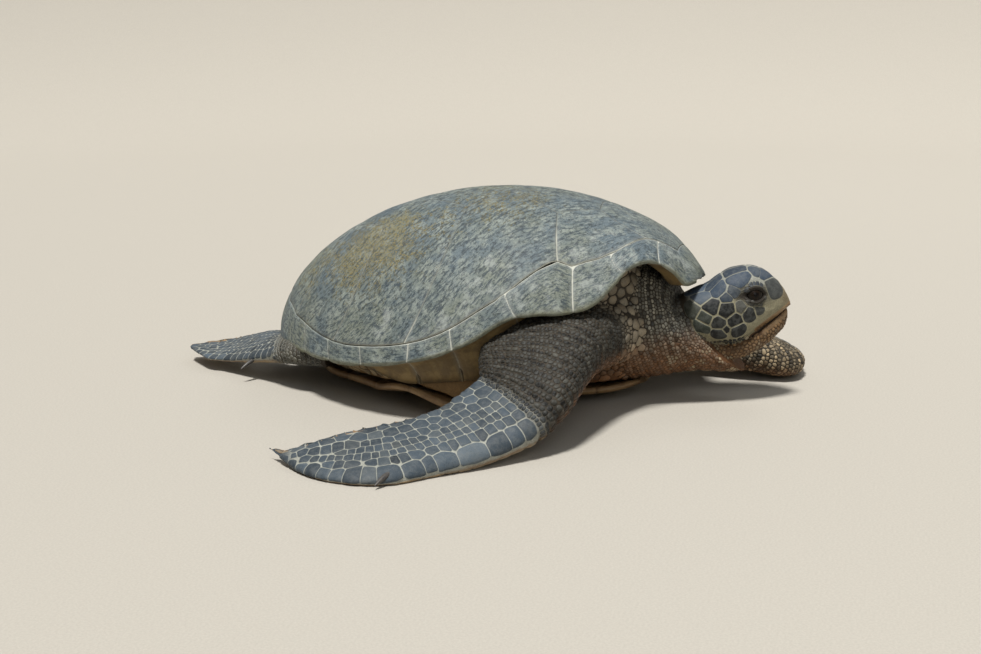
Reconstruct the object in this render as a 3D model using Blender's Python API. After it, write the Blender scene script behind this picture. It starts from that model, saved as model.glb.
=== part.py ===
"""Green sea turtle, life size, at rest on the floor: head towards -Y, floor at z = 0, metres."""
import math

import bmesh
import bpy
import numpy as np
from mathutils import Vector
from mathutils.geometry import delaunay_2d_cdt

# ---------------------------------------------------------------- sizes
SCL = 0.90                  # straight length of the carapace, nuchal to tail tip
GAP = 0.0003                # clearance between pieces that touch
BODY_ROLL = math.radians(5.0)    # right side of the shell carried higher than the left
BODY_LIFT = 0.012           # height of the plastron's middle plane
SHELL_PITCH = math.radians(7.865)  # nose-up lean of the carapace over the plastron
ORIGIN = (-0.0577, 0.0472, 0.0)    # middle of the animal's outline on the floor, from mid-shell

# carapace, as fractions of its length
HALF_WIDTH, WIDEN, NARROW = 0.375, 0.639, 0.685
RIM = [(0.0, 0.190), (0.010, 0.187), (0.030, 0.184), (0.050, 0.216), (0.080, 0.2435),
       (0.100, 0.2475), (0.130, 0.236), (0.160, 0.208), (0.190, 0.182), (0.220, 0.170),
       (0.262, 0.169), (0.300, 0.173), (0.340, 0.173), (0.375, 0.165), (0.430, 0.138),
       (0.490, 0.117), (0.550, 0.105), (0.603, 0.100), (0.700, 0.099), (0.790, 0.108),
       (0.865, 0.122), (0.930, 0.134), (1.0, 0.141)]     # height of the rim's edge
CROWN, CROWN_AT, CROWN_ENDS = 0.434, 0.52, (0.168, 0.141)
ARCH_A, ARCH_B = 2.219, 0.731
FRONT_S, REAR_S = 0.004, 0.996
NUCHAL_S = 0.014            # where the first marginal meets the nuchal on the rim

PLATE = 0.006               # thickness of the scutes
FLESH_GAP = 0.0038          # clearance of the trunk under the scutes
LIP = 0.0045                # thickness of the rim at its very edge
UNDER_RIM = 0.055           # width of the marginals' underside, fraction of the length
PLASTRON_THICK = 0.012

NODES = {}


# ---------------------------------------------------------------- small tools
def curve(x, knots):
    """Smooth curve through (x, value) knots, values may be tuples."""
    xs = np.array([k[0] for k in knots], float)
    ys = np.array([k[1] for k in knots], float)
    flat = ys.ndim == 1
    ys = ys.reshape(len(xs), -1)
    step = np.diff(xs)[:, None]
    slope = np.diff(ys, axis=0) / step
    m = np.zeros_like(ys)
    for i in range(1, len(xs) - 1):
        a, b = slope[i - 1], slope[i]
        w = step[i - 1] / (step[i - 1] + step[i])
        m[i] = np.where(a * b > 0, a * (1 - w) + b * w, 0.5 * (a + b) * (0.35 if flat else 1.0))
    m[0], m[-1] = slope[0], slope[-1]
    x = np.atleast_1d(np.asarray(x, float))
    k = np.clip(np.searchsorted(xs, x) - 1, 0, len(xs) - 2)
    h = xs[k + 1] - xs[k]
    t = np.clip((x - xs[k]) / h, 0, 1)[:, None]
    h = h[:, None]
    out = ((2 * t**3 - 3 * t**2 + 1) * ys[k] + (t**3 - 2 * t**2 + t) * h * m[k]
           + (-2 * t**3 + 3 * t**2) * ys[k + 1] + (t**3 - t**2) * h * m[k + 1])
    return out[:, 0] if flat else out


def ease(t):
    t = np.clip(t, 0, 1)
    return t * t * (3 - 2 * t)


def unit(v):
    return v / np.maximum(np.linalg.norm(v, axis=-1, keepdims=True), 1e-12)


def to_world(p):
    """Shell frame (level plastron) to the floor frame: rolled, lifted."""
    p = np.asarray(p, float)
    c, s = math.cos(BODY_ROLL), math.sin(BODY_ROLL)
    return np.stack([p[..., 0] * c + p[..., 2] * s, p[..., 1],
                     -p[..., 0] * s + p[..., 2] * c + BODY_LIFT], -1)


def half_width(s):
    m = WIDEN / (WIDEN + NARROW)
    return HALF_WIDTH * s**WIDEN * (1 - s)**NARROW / (m**WIDEN * (1 - m)**NARROW)


def rim_height(s):
    s = np.asarray(s, float)
    return curve(s.ravel(), RIM).reshape(s.shape)


def crown_height(s):
    ends = CROWN_ENDS
    c = 0.62
    d = c * (1 - CROWN_AT) / CROWN_AT
    top = CROWN_AT**c * (1 - CROWN_AT)**d
    base = ends[0] * (1 - CROWN_AT) + ends[1] * CROWN_AT
    return (ends[0] * (1 - s) + ends[1] * s
            + (CROWN - base) * s**c * (1 - s)**d / top)


def pitched(x, s, z):
    """Point of the carapace at width x, station s, height z (fractions), in the world."""
    c, n = math.cos(SHELL_PITCH), math.sin(SHELL_PITCH)
    y = s - 0.5
    return to_world(np.stack([x, y * c + z * n, -y * n + z * c], -1) * SCL)


def dome(s, v):
    """Outer face of the carapace: s runs nuchal to tail, v from -1 (right rim) to 1."""
    s, v = np.broadcast_arrays(np.asarray(s, float), np.asarray(v, float))
    u = np.sign(v) * (1 - (1 - np.abs(v))**2)
    rim = rim_height(s)
    crown = np.maximum(crown_height(s), rim)
    z = rim + (crown - rim) * np.maximum(1 - np.abs(u)**ARCH_A, 0)**ARCH_B
    return pitched(half_width(s) * u, s, z)


def dome_normal(s, v):
    e = 1e-3
    s = np.clip(s, FRONT_S + e, REAR_S - e)
    v = np.clip(v, -0.985, 0.985)
    a = dome(s + e, v) - dome(s - e, v)
    b = dome(s, v + e) - dome(s, v - e)
    return unit(np.cross(b, a)) * np.sign(np.cross(b, a)[..., 2:3] + 1e-9)


def inner(s, v, depth):
    return dome(s, v) - dome_normal(s, v) * depth


def v_at(s, w):
    """v of the point whose distance from the midline is w (fraction of the length)."""
    u = np.clip(np.abs(w) / half_width(s), 0, 1)
    return np.sign(w) * (1 - np.sqrt(1 - u))


# ---------------------------------------------------------------- objects
def finish(name, colour, rough):
    mat = bpy.data.materials.new(name)
    mat.use_nodes = True
    shader = mat.node_tree.nodes["Principled BSDF"]
    shader.inputs["Base Color"].default_value = (*colour, 1)
    shader.inputs["Roughness"].default_value = rough
    shader.inputs["Metallic"].default_value = 0.0
    return mat


def add(name, verts, faces, mat, group):
    mesh = bpy.data.meshes.new(name)
    mesh.from_pydata([tuple(map(float, v)) for v in verts], [], [tuple(map(int, f)) for f in faces])
    bm = bmesh.new()
    bm.from_mesh(mesh)
    bmesh.ops.remove_doubles(bm, verts=bm.verts, dist=2e-6)
    bmesh.ops.triangulate(bm, faces=bm.faces)
    bmesh.ops.recalc_face_normals(bm, faces=bm.faces)
    for face in bm.faces:
        face.smooth = True
    bm.to_mesh(mesh)
    bm.free()
    mesh.materials.append(mat)
    obj = bpy.data.objects.new(name, mesh)
    group.objects.link(obj)
    NODES[name] = obj
    return obj


def loft(loops, start=None):
    """Closed skin over closed loops (stations, points, 3), ends capped by fans or by start."""
    loops = np.asarray(loops, float)
    n, m = loops.shape[:2]
    verts = list(loops.reshape(-1, 3)) + [loops[0].mean(0), loops[-1].mean(0)]
    faces = []
    for i in range(n - 1):
        for j in range(m):
            k = (j + 1) % m
            faces.append((i * m + j, i * m + k, (i + 1) * m + k, (i + 1) * m + j))
    for j in range(m):
        k = (j + 1) % m
        if start is None:
            faces.append((n * m, k, j))
        faces.append((n * m + 1, (n - 1) * m + j, (n - 1) * m + k))
    if start is not None:
        verts[n * m] = verts[start[0][0]]
        faces += [(a, c, b) for a, b, c in start]
    return verts, faces


def swollen(obj, by):
    """A copy of a solid grown by a clearance, for cutting its neighbours."""
    copy = bpy.data.objects.new(obj.name + "_cutter", obj.data.copy())
    bpy.data.collections["cutters"].objects.link(copy)
    copy.hide_render = True
    copy.display_type = "WIRE"
    bm = bmesh.new()
    bm.from_mesh(copy.data)
    bm.normal_update()
    moves = [(v, v.co + v.normal * by * min(2.5, v.calc_shell_factor())) for v in bm.verts]
    for v, co in moves:
        v.co = co
    bm.to_mesh(copy.data)
    bm.free()
    return copy


def cut(name, others, by=GAP):
    """Takes the neighbours, grown by the clearance, out of a piece; its main body is kept."""
    obj = NODES[name]
    for other in others:
        mod = obj.modifiers.new("part_from_" + other, "BOOLEAN")
        mod.operation, mod.solver = "DIFFERENCE", "EXACT"
        mod.object = swollen(NODES[other], by)
    bpy.context.view_layer.update()
    graph = bpy.context.evaluated_depsgraph_get()
    mesh = bpy.data.meshes.new_from_object(obj.evaluated_get(graph))
    obj.modifiers.clear()
    bm = bmesh.new()
    bm.from_mesh(mesh)
    bmesh.ops.triangulate(bm, faces=bm.faces)
    bmesh.ops.remove_doubles(bm, verts=bm.verts, dist=2e-5)
    bmesh.ops.dissolve_degenerate(bm, edges=bm.edges, dist=2e-5)
    bmesh.ops.triangulate(bm, faces=bm.faces)
    seen, islands = set(), []
    for start in bm.verts:
        if start in seen:
            continue
        stack, island = [start], []
        seen.add(start)
        while stack:
            v = stack.pop()
            island.append(v)
            for edge in v.link_edges:
                w = edge.other_vert(v)
                if w not in seen:
                    seen.add(w)
                    stack.append(w)
        islands.append(island)

    def bulk(island):
        co = np.array([v.co for v in island])
        return float(np.prod(np.ptp(co, axis=0) + 1e-4))

    islands.sort(key=bulk)
    for island in islands[:-1]:
        bmesh.ops.delete(bm, geom=island, context="VERTS")
    bmesh.ops.recalc_face_normals(bm, faces=bm.faces)
    for face in bm.faces:
        face.smooth = True
    bm.to_mesh(mesh)
    bm.free()
    mesh.materials.clear()
    mesh.materials.append(obj.data.materials[0])
    old = obj.data
    obj.data = mesh
    bpy.data.meshes.remove(old)


# ---------------------------------------------------------------- carapace
SEAM = [(0.10, 0.40), (0.135, 0.545), (0.175, 0.578), (0.215, 0.592), (0.235, 0.613),
        (0.265, 0.587), (0.310, 0.660), (0.367, 0.770), (0.425, 0.793), (0.485, 0.824),
        (0.580, 0.847), (0.690, 0.838), (0.775, 0.810), (0.840, 0.740), (0.900, 0.620)]
V1C, V12 = (0.100, 0.118), (0.200, 0.088)
V2C, V23 = (0.278, 0.160), (0.385, 0.092)
V3C, V34 = (0.475, 0.158), (0.575, 0.088)
V4C, V45 = (0.670, 0.148), (0.760, 0.072)
NUCHAL_REAR = (0.047, 0.056)
C12, C23, C34, C4V5 = 0.265, 0.590, 0.775, 0.900
TAIL_SEAM = 0.955


def seam_v(s):
    return curve(s, SEAM)


def corner(point):
    return np.array([point[0], v_at(point[0], point[1])])


def run(a, b, n, bend=1.0):
    """n + 1 points from a to b in (s, v); bend holds s back at first."""
    t = np.linspace(0, 1, n + 1)
    return np.stack([a[0] + (b[0] - a[0]) * t**bend, a[1] + (b[1] - a[1]) * t], -1)


def along_seam(s0, s1, n):
    s = np.linspace(s0, s1, n + 1)
    return np.stack([s, seam_v(s)], -1)


def rim_edge(s):
    return np.array([s, 1.0])


def scute_outlines():
    """Outlines of the scutes in (s, v), left side positive, right side mirrored."""
    on = {s: np.array([s, seam_v(s)[0]]) for s in (C12, C23, C34, C4V5)}
    v1c = np.array([V1C[0], seam_v(V1C[0])[0]])
    v12, v2c, v23, v3c = corner(V12), corner(V2C), corner(V23), corner(V3C)
    v34, v4c, v45, nuc = corner(V34), corner(V4C), corner(V45), corner(NUCHAL_REAR)
    mid = {k: np.array([k, 0.0]) for k in (FRONT_S, NUCHAL_REAR[0], V12[0] + 0.006, V23[0] + 0.006,
                                           V34[0], V45[0], TAIL_SEAM)}
    k = list(mid.values())
    tail = corner((0.940, 0.085))

    def join(*runs):
        pts = []
        for r in runs:
            for p in r:
                if not pts or np.abs(p - pts[-1]).max() > 1e-6:
                    pts.append(p)
        if np.abs(pts[0] - pts[-1]).max() < 1e-6:
            pts.pop()
        return pts

    half = {
        "nuchal": join(run(k[0], rim_edge(FRONT_S), 3), run(rim_edge(FRONT_S), rim_edge(NUCHAL_S), 2),
                       run(rim_edge(NUCHAL_S), nuc, 3), run(nuc, k[1], 2)),
        "vertebral_1": join(run(k[1], nuc, 2), run(nuc, v1c, 4), run(v1c, v12, 4), run(v12, k[2], 2)),
        "vertebral_2": join(run(k[2], v12, 2), run(v12, v2c, 3), run(v2c, v23, 4), run(v23, k[3], 2)),
        "vertebral_3": join(run(k[3], v23, 2), run(v23, v3c, 3), run(v3c, v34, 3), run(v34, k[4], 2)),
        "vertebral_4": join(run(k[4], v34, 2), run(v34, v4c, 3), run(v4c, v45, 3), run(v45, k[5], 2)),
        "vertebral_5": join(run(k[5], v45, 2), run(v45, on[C4V5], 5, 0.8), run(on[C4V5], tail, 3),
                            run(tail, k[6], 2)),
    }
    whole = {name: pts + [np.array([p[0], -p[1]]) for p in reversed(pts) if abs(p[1]) > 1e-9]
             for name, pts in half.items()}
    side = {
        "costal_1": join(run(v1c, v12, 4), run(v12, v2c, 3), run(v2c, on[C12], 4),
                         along_seam(V1C[0], C12, 6)[::-1]),
        "costal_2": join(run(v2c, v23, 4), run(v23, v3c, 3), run(v3c, on[C23], 5, 1.5),
                         along_seam(C12, C23, 8)[::-1], run(v2c, on[C12], 4)[::-1]),
        "costal_3": join(run(v3c, v34, 3), run(v34, v4c, 3), run(v4c, on[C34], 5, 1.4),
                         along_seam(C23, C34, 5)[::-1], run(v3c, on[C23], 5, 1.5)[::-1]),
        "costal_4": join(run(v4c, v45, 3), run(v45, on[C4V5], 5, 0.8),
                         along_seam(C34, C4V5, 4)[::-1], run(v4c, on[C34], 5, 1.4)[::-1]),
    }
    for name, pts in side.items():
        whole[name + "_left"] = [np.array(p) for p in pts]
        whole[name + "_right"] = [np.array([p[0], -p[1]]) for p in reversed(pts)]
    return whole


def build_scutes(mat, group):
    outlines = scute_outlines()
    span = 0.45
    keys, coords, polys = {}, [], []

    def index(p):
        key = (round(p[0], 5), round(p[1], 5))
        if key not in keys:
            keys[key] = len(coords)
            coords.append(np.array(p, float))
        return keys[key]

    names = list(outlines)
    for name in names:
        ring = np.array(outlines[name])
        nxt = np.roll(ring, -1, axis=0)
        turn = (ring[:, 0] * nxt[:, 1] - nxt[:, 0] * ring[:, 1]).sum()
        polys.append([index(p) for p in (ring if turn > 0 else ring[::-1])])
    fixed = np.array(coords)
    for i, s in enumerate(np.linspace(0.07, 0.93, 18)):
        for v in np.linspace(-0.84, 0.84, 17) + (0.05 if i % 2 else 0.0):
            away = np.hypot(fixed[:, 0] - s, (fixed[:, 1] - v) * span).min()
            if away > 0.0265:
                index((s, v))
    flat = [(c[0], c[1] * span) for c in coords]
    verts, _, tris, _, _, owner = delaunay_2d_cdt(flat, [], polys, 1, 1e-6)
    pts = np.array([(v[0], v[1] / span) for v in verts])
    for number, name in enumerate(names):
        mine = [t for t, o in zip(tris, owner) if number in o]
        used = sorted({i for t in mine for i in t})
        local = {g: i for i, g in enumerate(used)}
        sv = pts[used]
        top = dome(sv[:, 0], sv[:, 1])
        out = dome_normal(sv[:, 0], sv[:, 1])
        faces = []
        for t in mine:
            a, b, c = (local[i] for i in t)
            if np.cross(top[b] - top[a], top[c] - top[a]) @ out[a] < 0:
                b, c = c, b
            faces.append((a, b, c))
        edges = {(a, b) for f in faces for a, b in zip(f, f[1:] + f[:1])}
        border = [(a, b) for a, b in edges if (b, a) not in edges]
        pull = np.zeros_like(top)
        for a, b in border:
            inward = unit(np.cross(out[a] + out[b], top[b] - top[a]))
            pull[a] += inward
            pull[b] += inward
        top = top + unit(pull) * (np.linalg.norm(pull, axis=1, keepdims=True) > 0) * GAP * 0.6
        n = len(top)
        both = np.concatenate([top, top - out * PLATE])
        solid = list(faces) + [(c + n, b + n, a + n) for a, b, c in faces]
        solid += [(b, a, a + n, b + n) for a, b in border]
        add(name, both, solid, mat, group)


def ring_rows():
    """Pairs of (s, v): the marginals' inner seam and the rim point that faces it, left side."""
    nuc = corner(NUCHAL_REAR)
    v1c = np.array([V1C[0], seam_v(V1C[0])[0]])
    last = np.array([C4V5, seam_v(C4V5)[0]])
    tail, end = corner((0.940, 0.085)), np.array([TAIL_SEAM, 0.0])
    seam = np.concatenate([run(nuc, v1c, 4), along_seam(V1C[0], C12, 6)[1:],
                           along_seam(C12, C23, 8)[1:], along_seam(C23, C34, 5)[1:],
                           along_seam(C34, C4V5, 4)[1:], run(last, tail, 3)[1:],
                           run(tail, end, 2)[1:]])
    rim = np.stack([seam[:, 0], np.ones(len(seam))], -1)
    rim[:5, 0] = np.array([NUCHAL_S, 0.030, 0.050, 0.074, V1C[0]])
    rim[-6:, 0] = np.array([C4V5, 0.932, 0.962, 0.984, REAR_S, REAR_S])
    rim[-1, 1] = 0.0
    return seam, rim


RING_SEAM, RING_RIM = ring_rows()


def ring_at(s):
    """v of the marginals' inner seam at station s, for the trunk inside it."""
    return np.interp(s, RING_SEAM[:, 0], RING_SEAM[:, 1])


def ring_under(s):
    """Width of the marginals' underside and how far it drops to its inner edge."""
    s = np.asarray(s, float)
    wide = np.minimum(UNDER_RIM, 0.50 * half_width(s))
    bridge = ease((s - 0.30) / 0.16) * (1 - ease((s - 0.60) / 0.18))
    return wide, -0.002 + (rim_height(s) - 0.048) * bridge


def rim_inward(s):
    """Unit direction, in plan, from the left rim towards the middle of the shell."""
    e = 2e-3
    s0, s1 = np.maximum(s - e, 1e-4), np.minimum(s + e, 1 - 1e-4)
    dx = half_width(s1) - half_width(s0)
    ds = s1 - s0
    return unit(np.stack([-ds, dx], -1))


def under_point(s, v, side, inset, drop):
    """Point under the rim, inset from it in plan and dropped below its edge."""
    w = half_width(s) * (1 - (1 - v)**2)
    d = rim_inward(s)
    x = np.maximum(w + d[..., 0] * inset, 0.0008)
    y = s + d[..., 1] * inset * 0.75
    return pitched(side * x, y, rim_height(s) - drop)


def build_marginals(side, label, mat, group):
    seam, rim = RING_SEAM.copy(), RING_RIM.copy()
    wide, drop = ring_under(rim[:, 0])
    loops = []
    edge = np.array([0.0, 0.0007])
    for k in (0.0, 1 / 3, 2 / 3, 1.0):
        p = (seam + edge) * (1 - k) + rim * k
        if k == 0.0:
            p[0, 0] += 0.0003
        p[:, 1] = np.maximum(p[:, 1], 0.005)
        loops.append(dome(p[:, 0], side * p[:, 1]))
    lip = LIP / SCL
    s, v = rim[:, 0], np.maximum(rim[:, 1], 0.005)
    loops.append(under_point(s, v, side, 0.0012, lip))
    loops.append(under_point(s, v, side, wide * 0.30, lip + drop * 0.12))
    loops.append(under_point(s, v, side, wide * 0.65, lip + drop * 0.45))
    loops.append(under_point(s, v, side, wide, lip + drop))
    p = seam + edge
    p[:, 1] = np.maximum(p[:, 1], 0.005)
    loops.append(inner(p[:, 0], side * p[:, 1], PLATE + 0.001))
    loops = np.swapaxes(np.array(loops), 0, 1)
    for j, k, depth in ((4, 1, LIP), (5, 2 / 3, PLATE), (6, 1 / 3, PLATE + 0.001), (7, 1 / 6, PLATE + 0.001)):
        p = (seam[0] + edge) * (1 - k) + rim[0] * k
        loops[0, j] = inner(p[0:1], side * p[1:2], depth)[0]
    loops[0] += np.array([side * GAP, GAP, 0.0])
    start = [(0, 1, 6), (0, 6, 7), (0, 7, 8), (1, 2, 5), (1, 5, 6), (2, 3, 4), (2, 4, 5)]
    add("marginals_" + label, *loft(loops, start), mat, group)


# ---------------------------------------------------------------- plastron and trunk
PLASTRON = [(0.150, 0.030), (0.175, 0.068), (0.21, 0.100), (0.25, 0.122), (0.30, 0.172),
            (0.35, 0.285), (0.47, 0.322), (0.60, 0.312), (0.66, 0.280), (0.72, 0.215),
            (0.80, 0.140), (0.87, 0.085), (0.91, 0.030)]
FLAT_HALF = 0.235           # half width of the level floor of the plastron


def plastron_low(x, s):
    """Height of the plastron's underside (fractions); the raised right side sags at the bridge."""
    side = np.clip((np.abs(x) - FLAT_HALF) / (0.316 - FLAT_HALF), 0, 1.2)
    front = np.clip((0.27 - s) / 0.12, 0, 1)**2 * 0.020
    back = np.clip((s - 0.80) / 0.11, 0, 1)**2 * 0.016
    rise = np.where(x < 0, -0.022 + 0.050 * ease((s - 0.46) / 0.22), 0.022)
    return rise * side**1.25 + front + back


def floor_kept(p, press=0.0):
    """Points no lower than the floor; those less than press over it are flattened onto it."""
    p = np.array(p, float)
    p[..., 2] = np.where(p[..., 2] < press, 0.0, p[..., 2])
    return p


def plastron_point(s, t, lift):
    x = curve(s, PLASTRON) * t
    return to_world(np.stack([x, s - 0.5, plastron_low(x, s) + lift / SCL], -1) * SCL)


def build_plastron(mat, group):
    s = np.array([0.150, 0.165, 0.19, 0.22, 0.25, 0.28, 0.305, 0.33, 0.38, 0.47, 0.56, 0.62,
                  0.65, 0.69, 0.74, 0.81, 0.87, 0.91])
    loops = []
    for v in s:
        w = float(curve(v, PLASTRON)[0])
        half = np.minimum([0.158, FLAT_HALF, 0.28], np.array([0.54, 0.76, 0.90]) * w) / w
        across = np.concatenate([[-1], -half[::-1], [0], half, [1]])
        sv = np.full(len(across), v)
        low = floor_kept(plastron_point(sv, across, 0.0))
        high = plastron_point(sv, across[::-1] * 0.985, PLASTRON_THICK)
        loops.append(np.concatenate([low, high]))
    add("plastron", *loft(loops), mat, group)


def build_trunk(mat, group):
    s = np.array([0.115, 0.145, 0.18, 0.22, 0.27, 0.32, 0.38, 0.45, 0.52, 0.59, 0.65, 0.71, 0.77,
                  0.83, 0.88, 0.92])
    loops = []
    depth = PLATE + FLESH_GAP
    for v in s:
        one = np.array([v])
        seam = float(ring_at(v)) - 0.02
        wide, drop = (float(a[0]) for a in ring_under(one))
        low_w = float(curve(v, PLASTRON)[0])
        ring_w = float(half_width(v)) - wide
        full = np.array([1.0])
        hang = LIP / SCL + drop
        right = []
        for k in (0.25, 0.5, 0.75, 1.0):
            right.append(inner(one, np.array([-seam * k]), depth)[0])
        right.append(under_point(one, full, -1, wide + 0.006, hang - 0.004)[0])
        low = min(low_w * 0.97, ring_w - 0.008)
        foot = plastron_point(one, np.array([-low / low_w]), PLASTRON_THICK + 0.0060)[0]
        right.append(0.5 * (right[-1] + foot) + np.array([-0.012, 0, 0]) * (low_w < 0.2))
        right.append(foot)
        right.append(plastron_point(one, np.array([-0.55 * low / low_w]), PLASTRON_THICK + 0.0040)[0])
        left = []
        for k in (0.25, 0.5, 0.75, 1.0):
            left.append(inner(one, np.array([seam * k]), depth)[0])
        left.append(under_point(one, full, 1, wide + 0.006, hang - 0.004)[0])
        foot = plastron_point(one, np.array([low / low_w]), PLASTRON_THICK + 0.0060)[0]
        left.append(0.5 * (left[-1] + foot) + np.array([0.012, 0, 0]) * (low_w < 0.2))
        left.append(foot)
        left.append(plastron_point(one, np.array([0.55 * low / low_w]), PLASTRON_THICK + 0.0040)[0])
        top = inner(one, np.array([0.0]), depth)[0]
        bottom = plastron_point(one, np.array([0.0]), PLASTRON_THICK + 0.0040)[0]
        loops.append([top] + right + [bottom] + left[::-1])
    add("trunk", *loft(loops), mat, group)


# ---------------------------------------------------------------- head
HEAD_BASE = np.array([0.0, -0.395, 0.155])     # where the skull's axis meets the neck
HEAD_YAW, HEAD_PITCH = math.radians(12.0), math.radians(12.0)
HEAD_LENGTH = 0.197
HEAD_TOP = [(-0.020, 0.049), (0.0, 0.056), (0.022, 0.061), (0.045, 0.065), (0.070, 0.0775),
            (0.098, 0.0865),
            (0.1365, 0.083), (0.154, 0.074), (0.171, 0.058), (0.186, 0.036), (0.1945, 0.014),
            (0.197, 0.000)]
HEAD_LOW = [(-0.020, -0.020), (0.006, -0.036), (0.036, -0.050), (0.070, -0.0585), (0.090, -0.054),
            (0.107, -0.0466), (0.134, -0.0344), (0.160, -0.024), (0.190, -0.0125), (0.197, -0.010)]
HEAD_HALF = [(-0.020, 0.034), (0.0, 0.052), (0.03, 0.064), (0.065, 0.0685), (0.10, 0.062),
             (0.134, 0.050), (0.160, 0.038), (0.182, 0.024), (0.193, 0.013), (0.197, 0.007)]
JAW_TOP = [(0.045, -0.056), (0.070, -0.0595), (0.090, -0.055), (0.107, -0.0476), (0.134, -0.0354),
           (0.160, -0.025), (0.1885, -0.0135)]
JAW_LOW = [(0.045, -0.078), (0.070, -0.088), (0.100, -0.087), (0.130, -0.077), (0.162, -0.060),
           (0.180, -0.044), (0.1885, -0.028)]
JAW_HALF = [(0.045, 0.046), (0.070, 0.050), (0.10, 0.048), (0.134, 0.039), (0.160, 0.028),
            (0.180, 0.016), (0.1885, 0.008)]
EYE_ALONG, EYE_UP, EYE_OUT, EYE_R = 0.1265, 0.0325, 0.0350, 0.0195


def head_axes():
    f = np.array([math.sin(HEAD_YAW) * math.cos(HEAD_PITCH),
                  -math.cos(HEAD_YAW) * math.cos(HEAD_PITCH), math.sin(HEAD_PITCH)])
    right = np.array([-math.cos(HEAD_YAW), -math.sin(HEAD_YAW), 0.0])
    return f, right, np.cross(right, f)


def head_point(along, side, up):
    f, r, u = head_axes()
    a, b, c = (np.asarray(v, float)[..., None] for v in (along, side, up))
    return HEAD_BASE + a * f + b * r + c * u


def box_round(low, high, half, power, n, flat_low=False):
    """Rounded section: returns (side, up) of n points, widest a little below the middle."""
    t = np.linspace(0, 2 * math.pi, n, endpoint=False) + math.pi / 2
    c, s = np.cos(t), np.sin(t)
    x = np.sign(c) * np.abs(c)**(2 / power) * half
    mid = low + (high - low) * 0.42
    y = np.where(s > 0, mid + (high - mid) * np.abs(s)**(2 / power),
                 mid - (mid - low) * np.abs(s)**(2 / (power + (2.0 if flat_low else 0.0))))
    return x, y


def build_head(mat, group):
    along = np.array([-0.020, -0.004, 0.016, 0.038, 0.060, 0.080, 0.098, 0.115, 0.132, 0.147,
                      0.161, 0.174, 0.185, 0.193, 0.197])
    loops = []
    for a in along:
        side, up = box_round(float(curve(a, HEAD_LOW)[0]), float(curve(a, HEAD_TOP)[0]),
                             float(curve(a, HEAD_HALF)[0]), 2.35, 16, a > 0.07)
        loops.append(head_point(np.full(len(side), a), side, up))
    add("head", *loft(loops), mat, group)


def build_jaw(mat, group):
    along = np.array([0.045, 0.060, 0.078, 0.096, 0.114, 0.132, 0.148, 0.162, 0.174, 0.183, 0.1885])
    loops = []
    for a in along:
        low, high = float(curve(a, JAW_LOW)[0]), float(curve(a, JAW_TOP)[0])
        half = float(curve(a, JAW_HALF)[0])
        top = float(curve(a, HEAD_LOW)[0]) - 0.0009
        side = np.array([-1, -0.5, 0, 0.5, 1, 0.98, 0.78, 0.42, 0, -0.42, -0.78, -0.98]) * half
        high = min(high, top)
        up = np.array([high] * 5 + [high - (high - low) * k for k in (0.4, 0.78, 0.96, 1, 0.96, 0.78, 0.4)])
        loops.append(head_point(np.full(len(side), a), side, up))
    add("lower_jaw", *loft(loops), mat, group)


def build_eye(side, label, mat, group):
    centre = head_point(EYE_ALONG, side * EYE_OUT, EYE_UP)
    loops = []
    for lift in np.linspace(-78, 78, 7):
        ring = np.linspace(0, 2 * math.pi, 12, endpoint=False)
        a, r = math.radians(lift), EYE_R * math.cos(math.radians(lift))
        loops.append(centre + np.stack([r * np.cos(ring), r * np.sin(ring),
                                        np.full(12, EYE_R * math.sin(a))], -1))
    add("eye_" + label, *loft(loops), mat, group)


def build_neck(mat, group):
    """From inside the front of the trunk to the back of the head, the throat under the jaw."""
    rows = [  # along t: centre x, y, z, half width, half height, lean of the section
        (0.0, (0.020, -0.215, 0.146, 0.165, 0.124, 0.00)),
        (0.25, (0.018, -0.275, 0.152, 0.152, 0.121, 0.10)),
        (0.50, (0.014, -0.330, 0.155, 0.127, 0.114, 0.20)),
        (0.72, (0.010, -0.378, 0.148, 0.098, 0.099, 0.34)),
        (0.88, (0.010, -0.425, 0.119, 0.072, 0.076, 0.60)),
        (1.0, (0.014, -0.470, 0.090, 0.052, 0.050, 0.85)),
    ]
    t = np.linspace(0, 1, 8)
    p = curve(t, rows)
    ang = np.linspace(0, 2 * math.pi, 16, endpoint=False)
    loops = []
    for x, y, z, hw, hh, lean in p:
        up = np.array([0, math.sin(lean), math.cos(lean)])
        ring = (np.array([x, y, z]) + np.outer(np.cos(ang) * hw, [1, 0, 0])
                + np.outer(np.sign(np.sin(ang)) * np.abs(np.sin(ang))**0.9 * hh, up))
        loops.append(ring)
    add("neck", *loft(loops), mat, group)


# ---------------------------------------------------------------- limbs
PRESS = 0.0065              # how much of a blade's belly is flattened by its own weight


def wing_section(lead, trail, thick, ahead, n=12, edge=0.10):
    """Section of a limb: full round near its leading edge, thin at the trailing edge."""
    chord = trail - lead
    span = np.linalg.norm(chord)
    along = chord / span
    normal = unit(np.cross(ahead, along))
    t = np.linspace(0, 2 * math.pi, n, endpoint=False)
    x = (1 - np.cos(t)) / 2
    swell = np.sqrt(np.abs(np.sin(t))) * np.abs(np.sin(t))**0.25
    taper = edge + (1 - edge) * (1 - x)**0.85
    y = np.sign(np.sin(t)) * swell * taper * thick * 0.5
    return lead + np.outer(x * span, along) + np.outer(y, normal)


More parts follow.
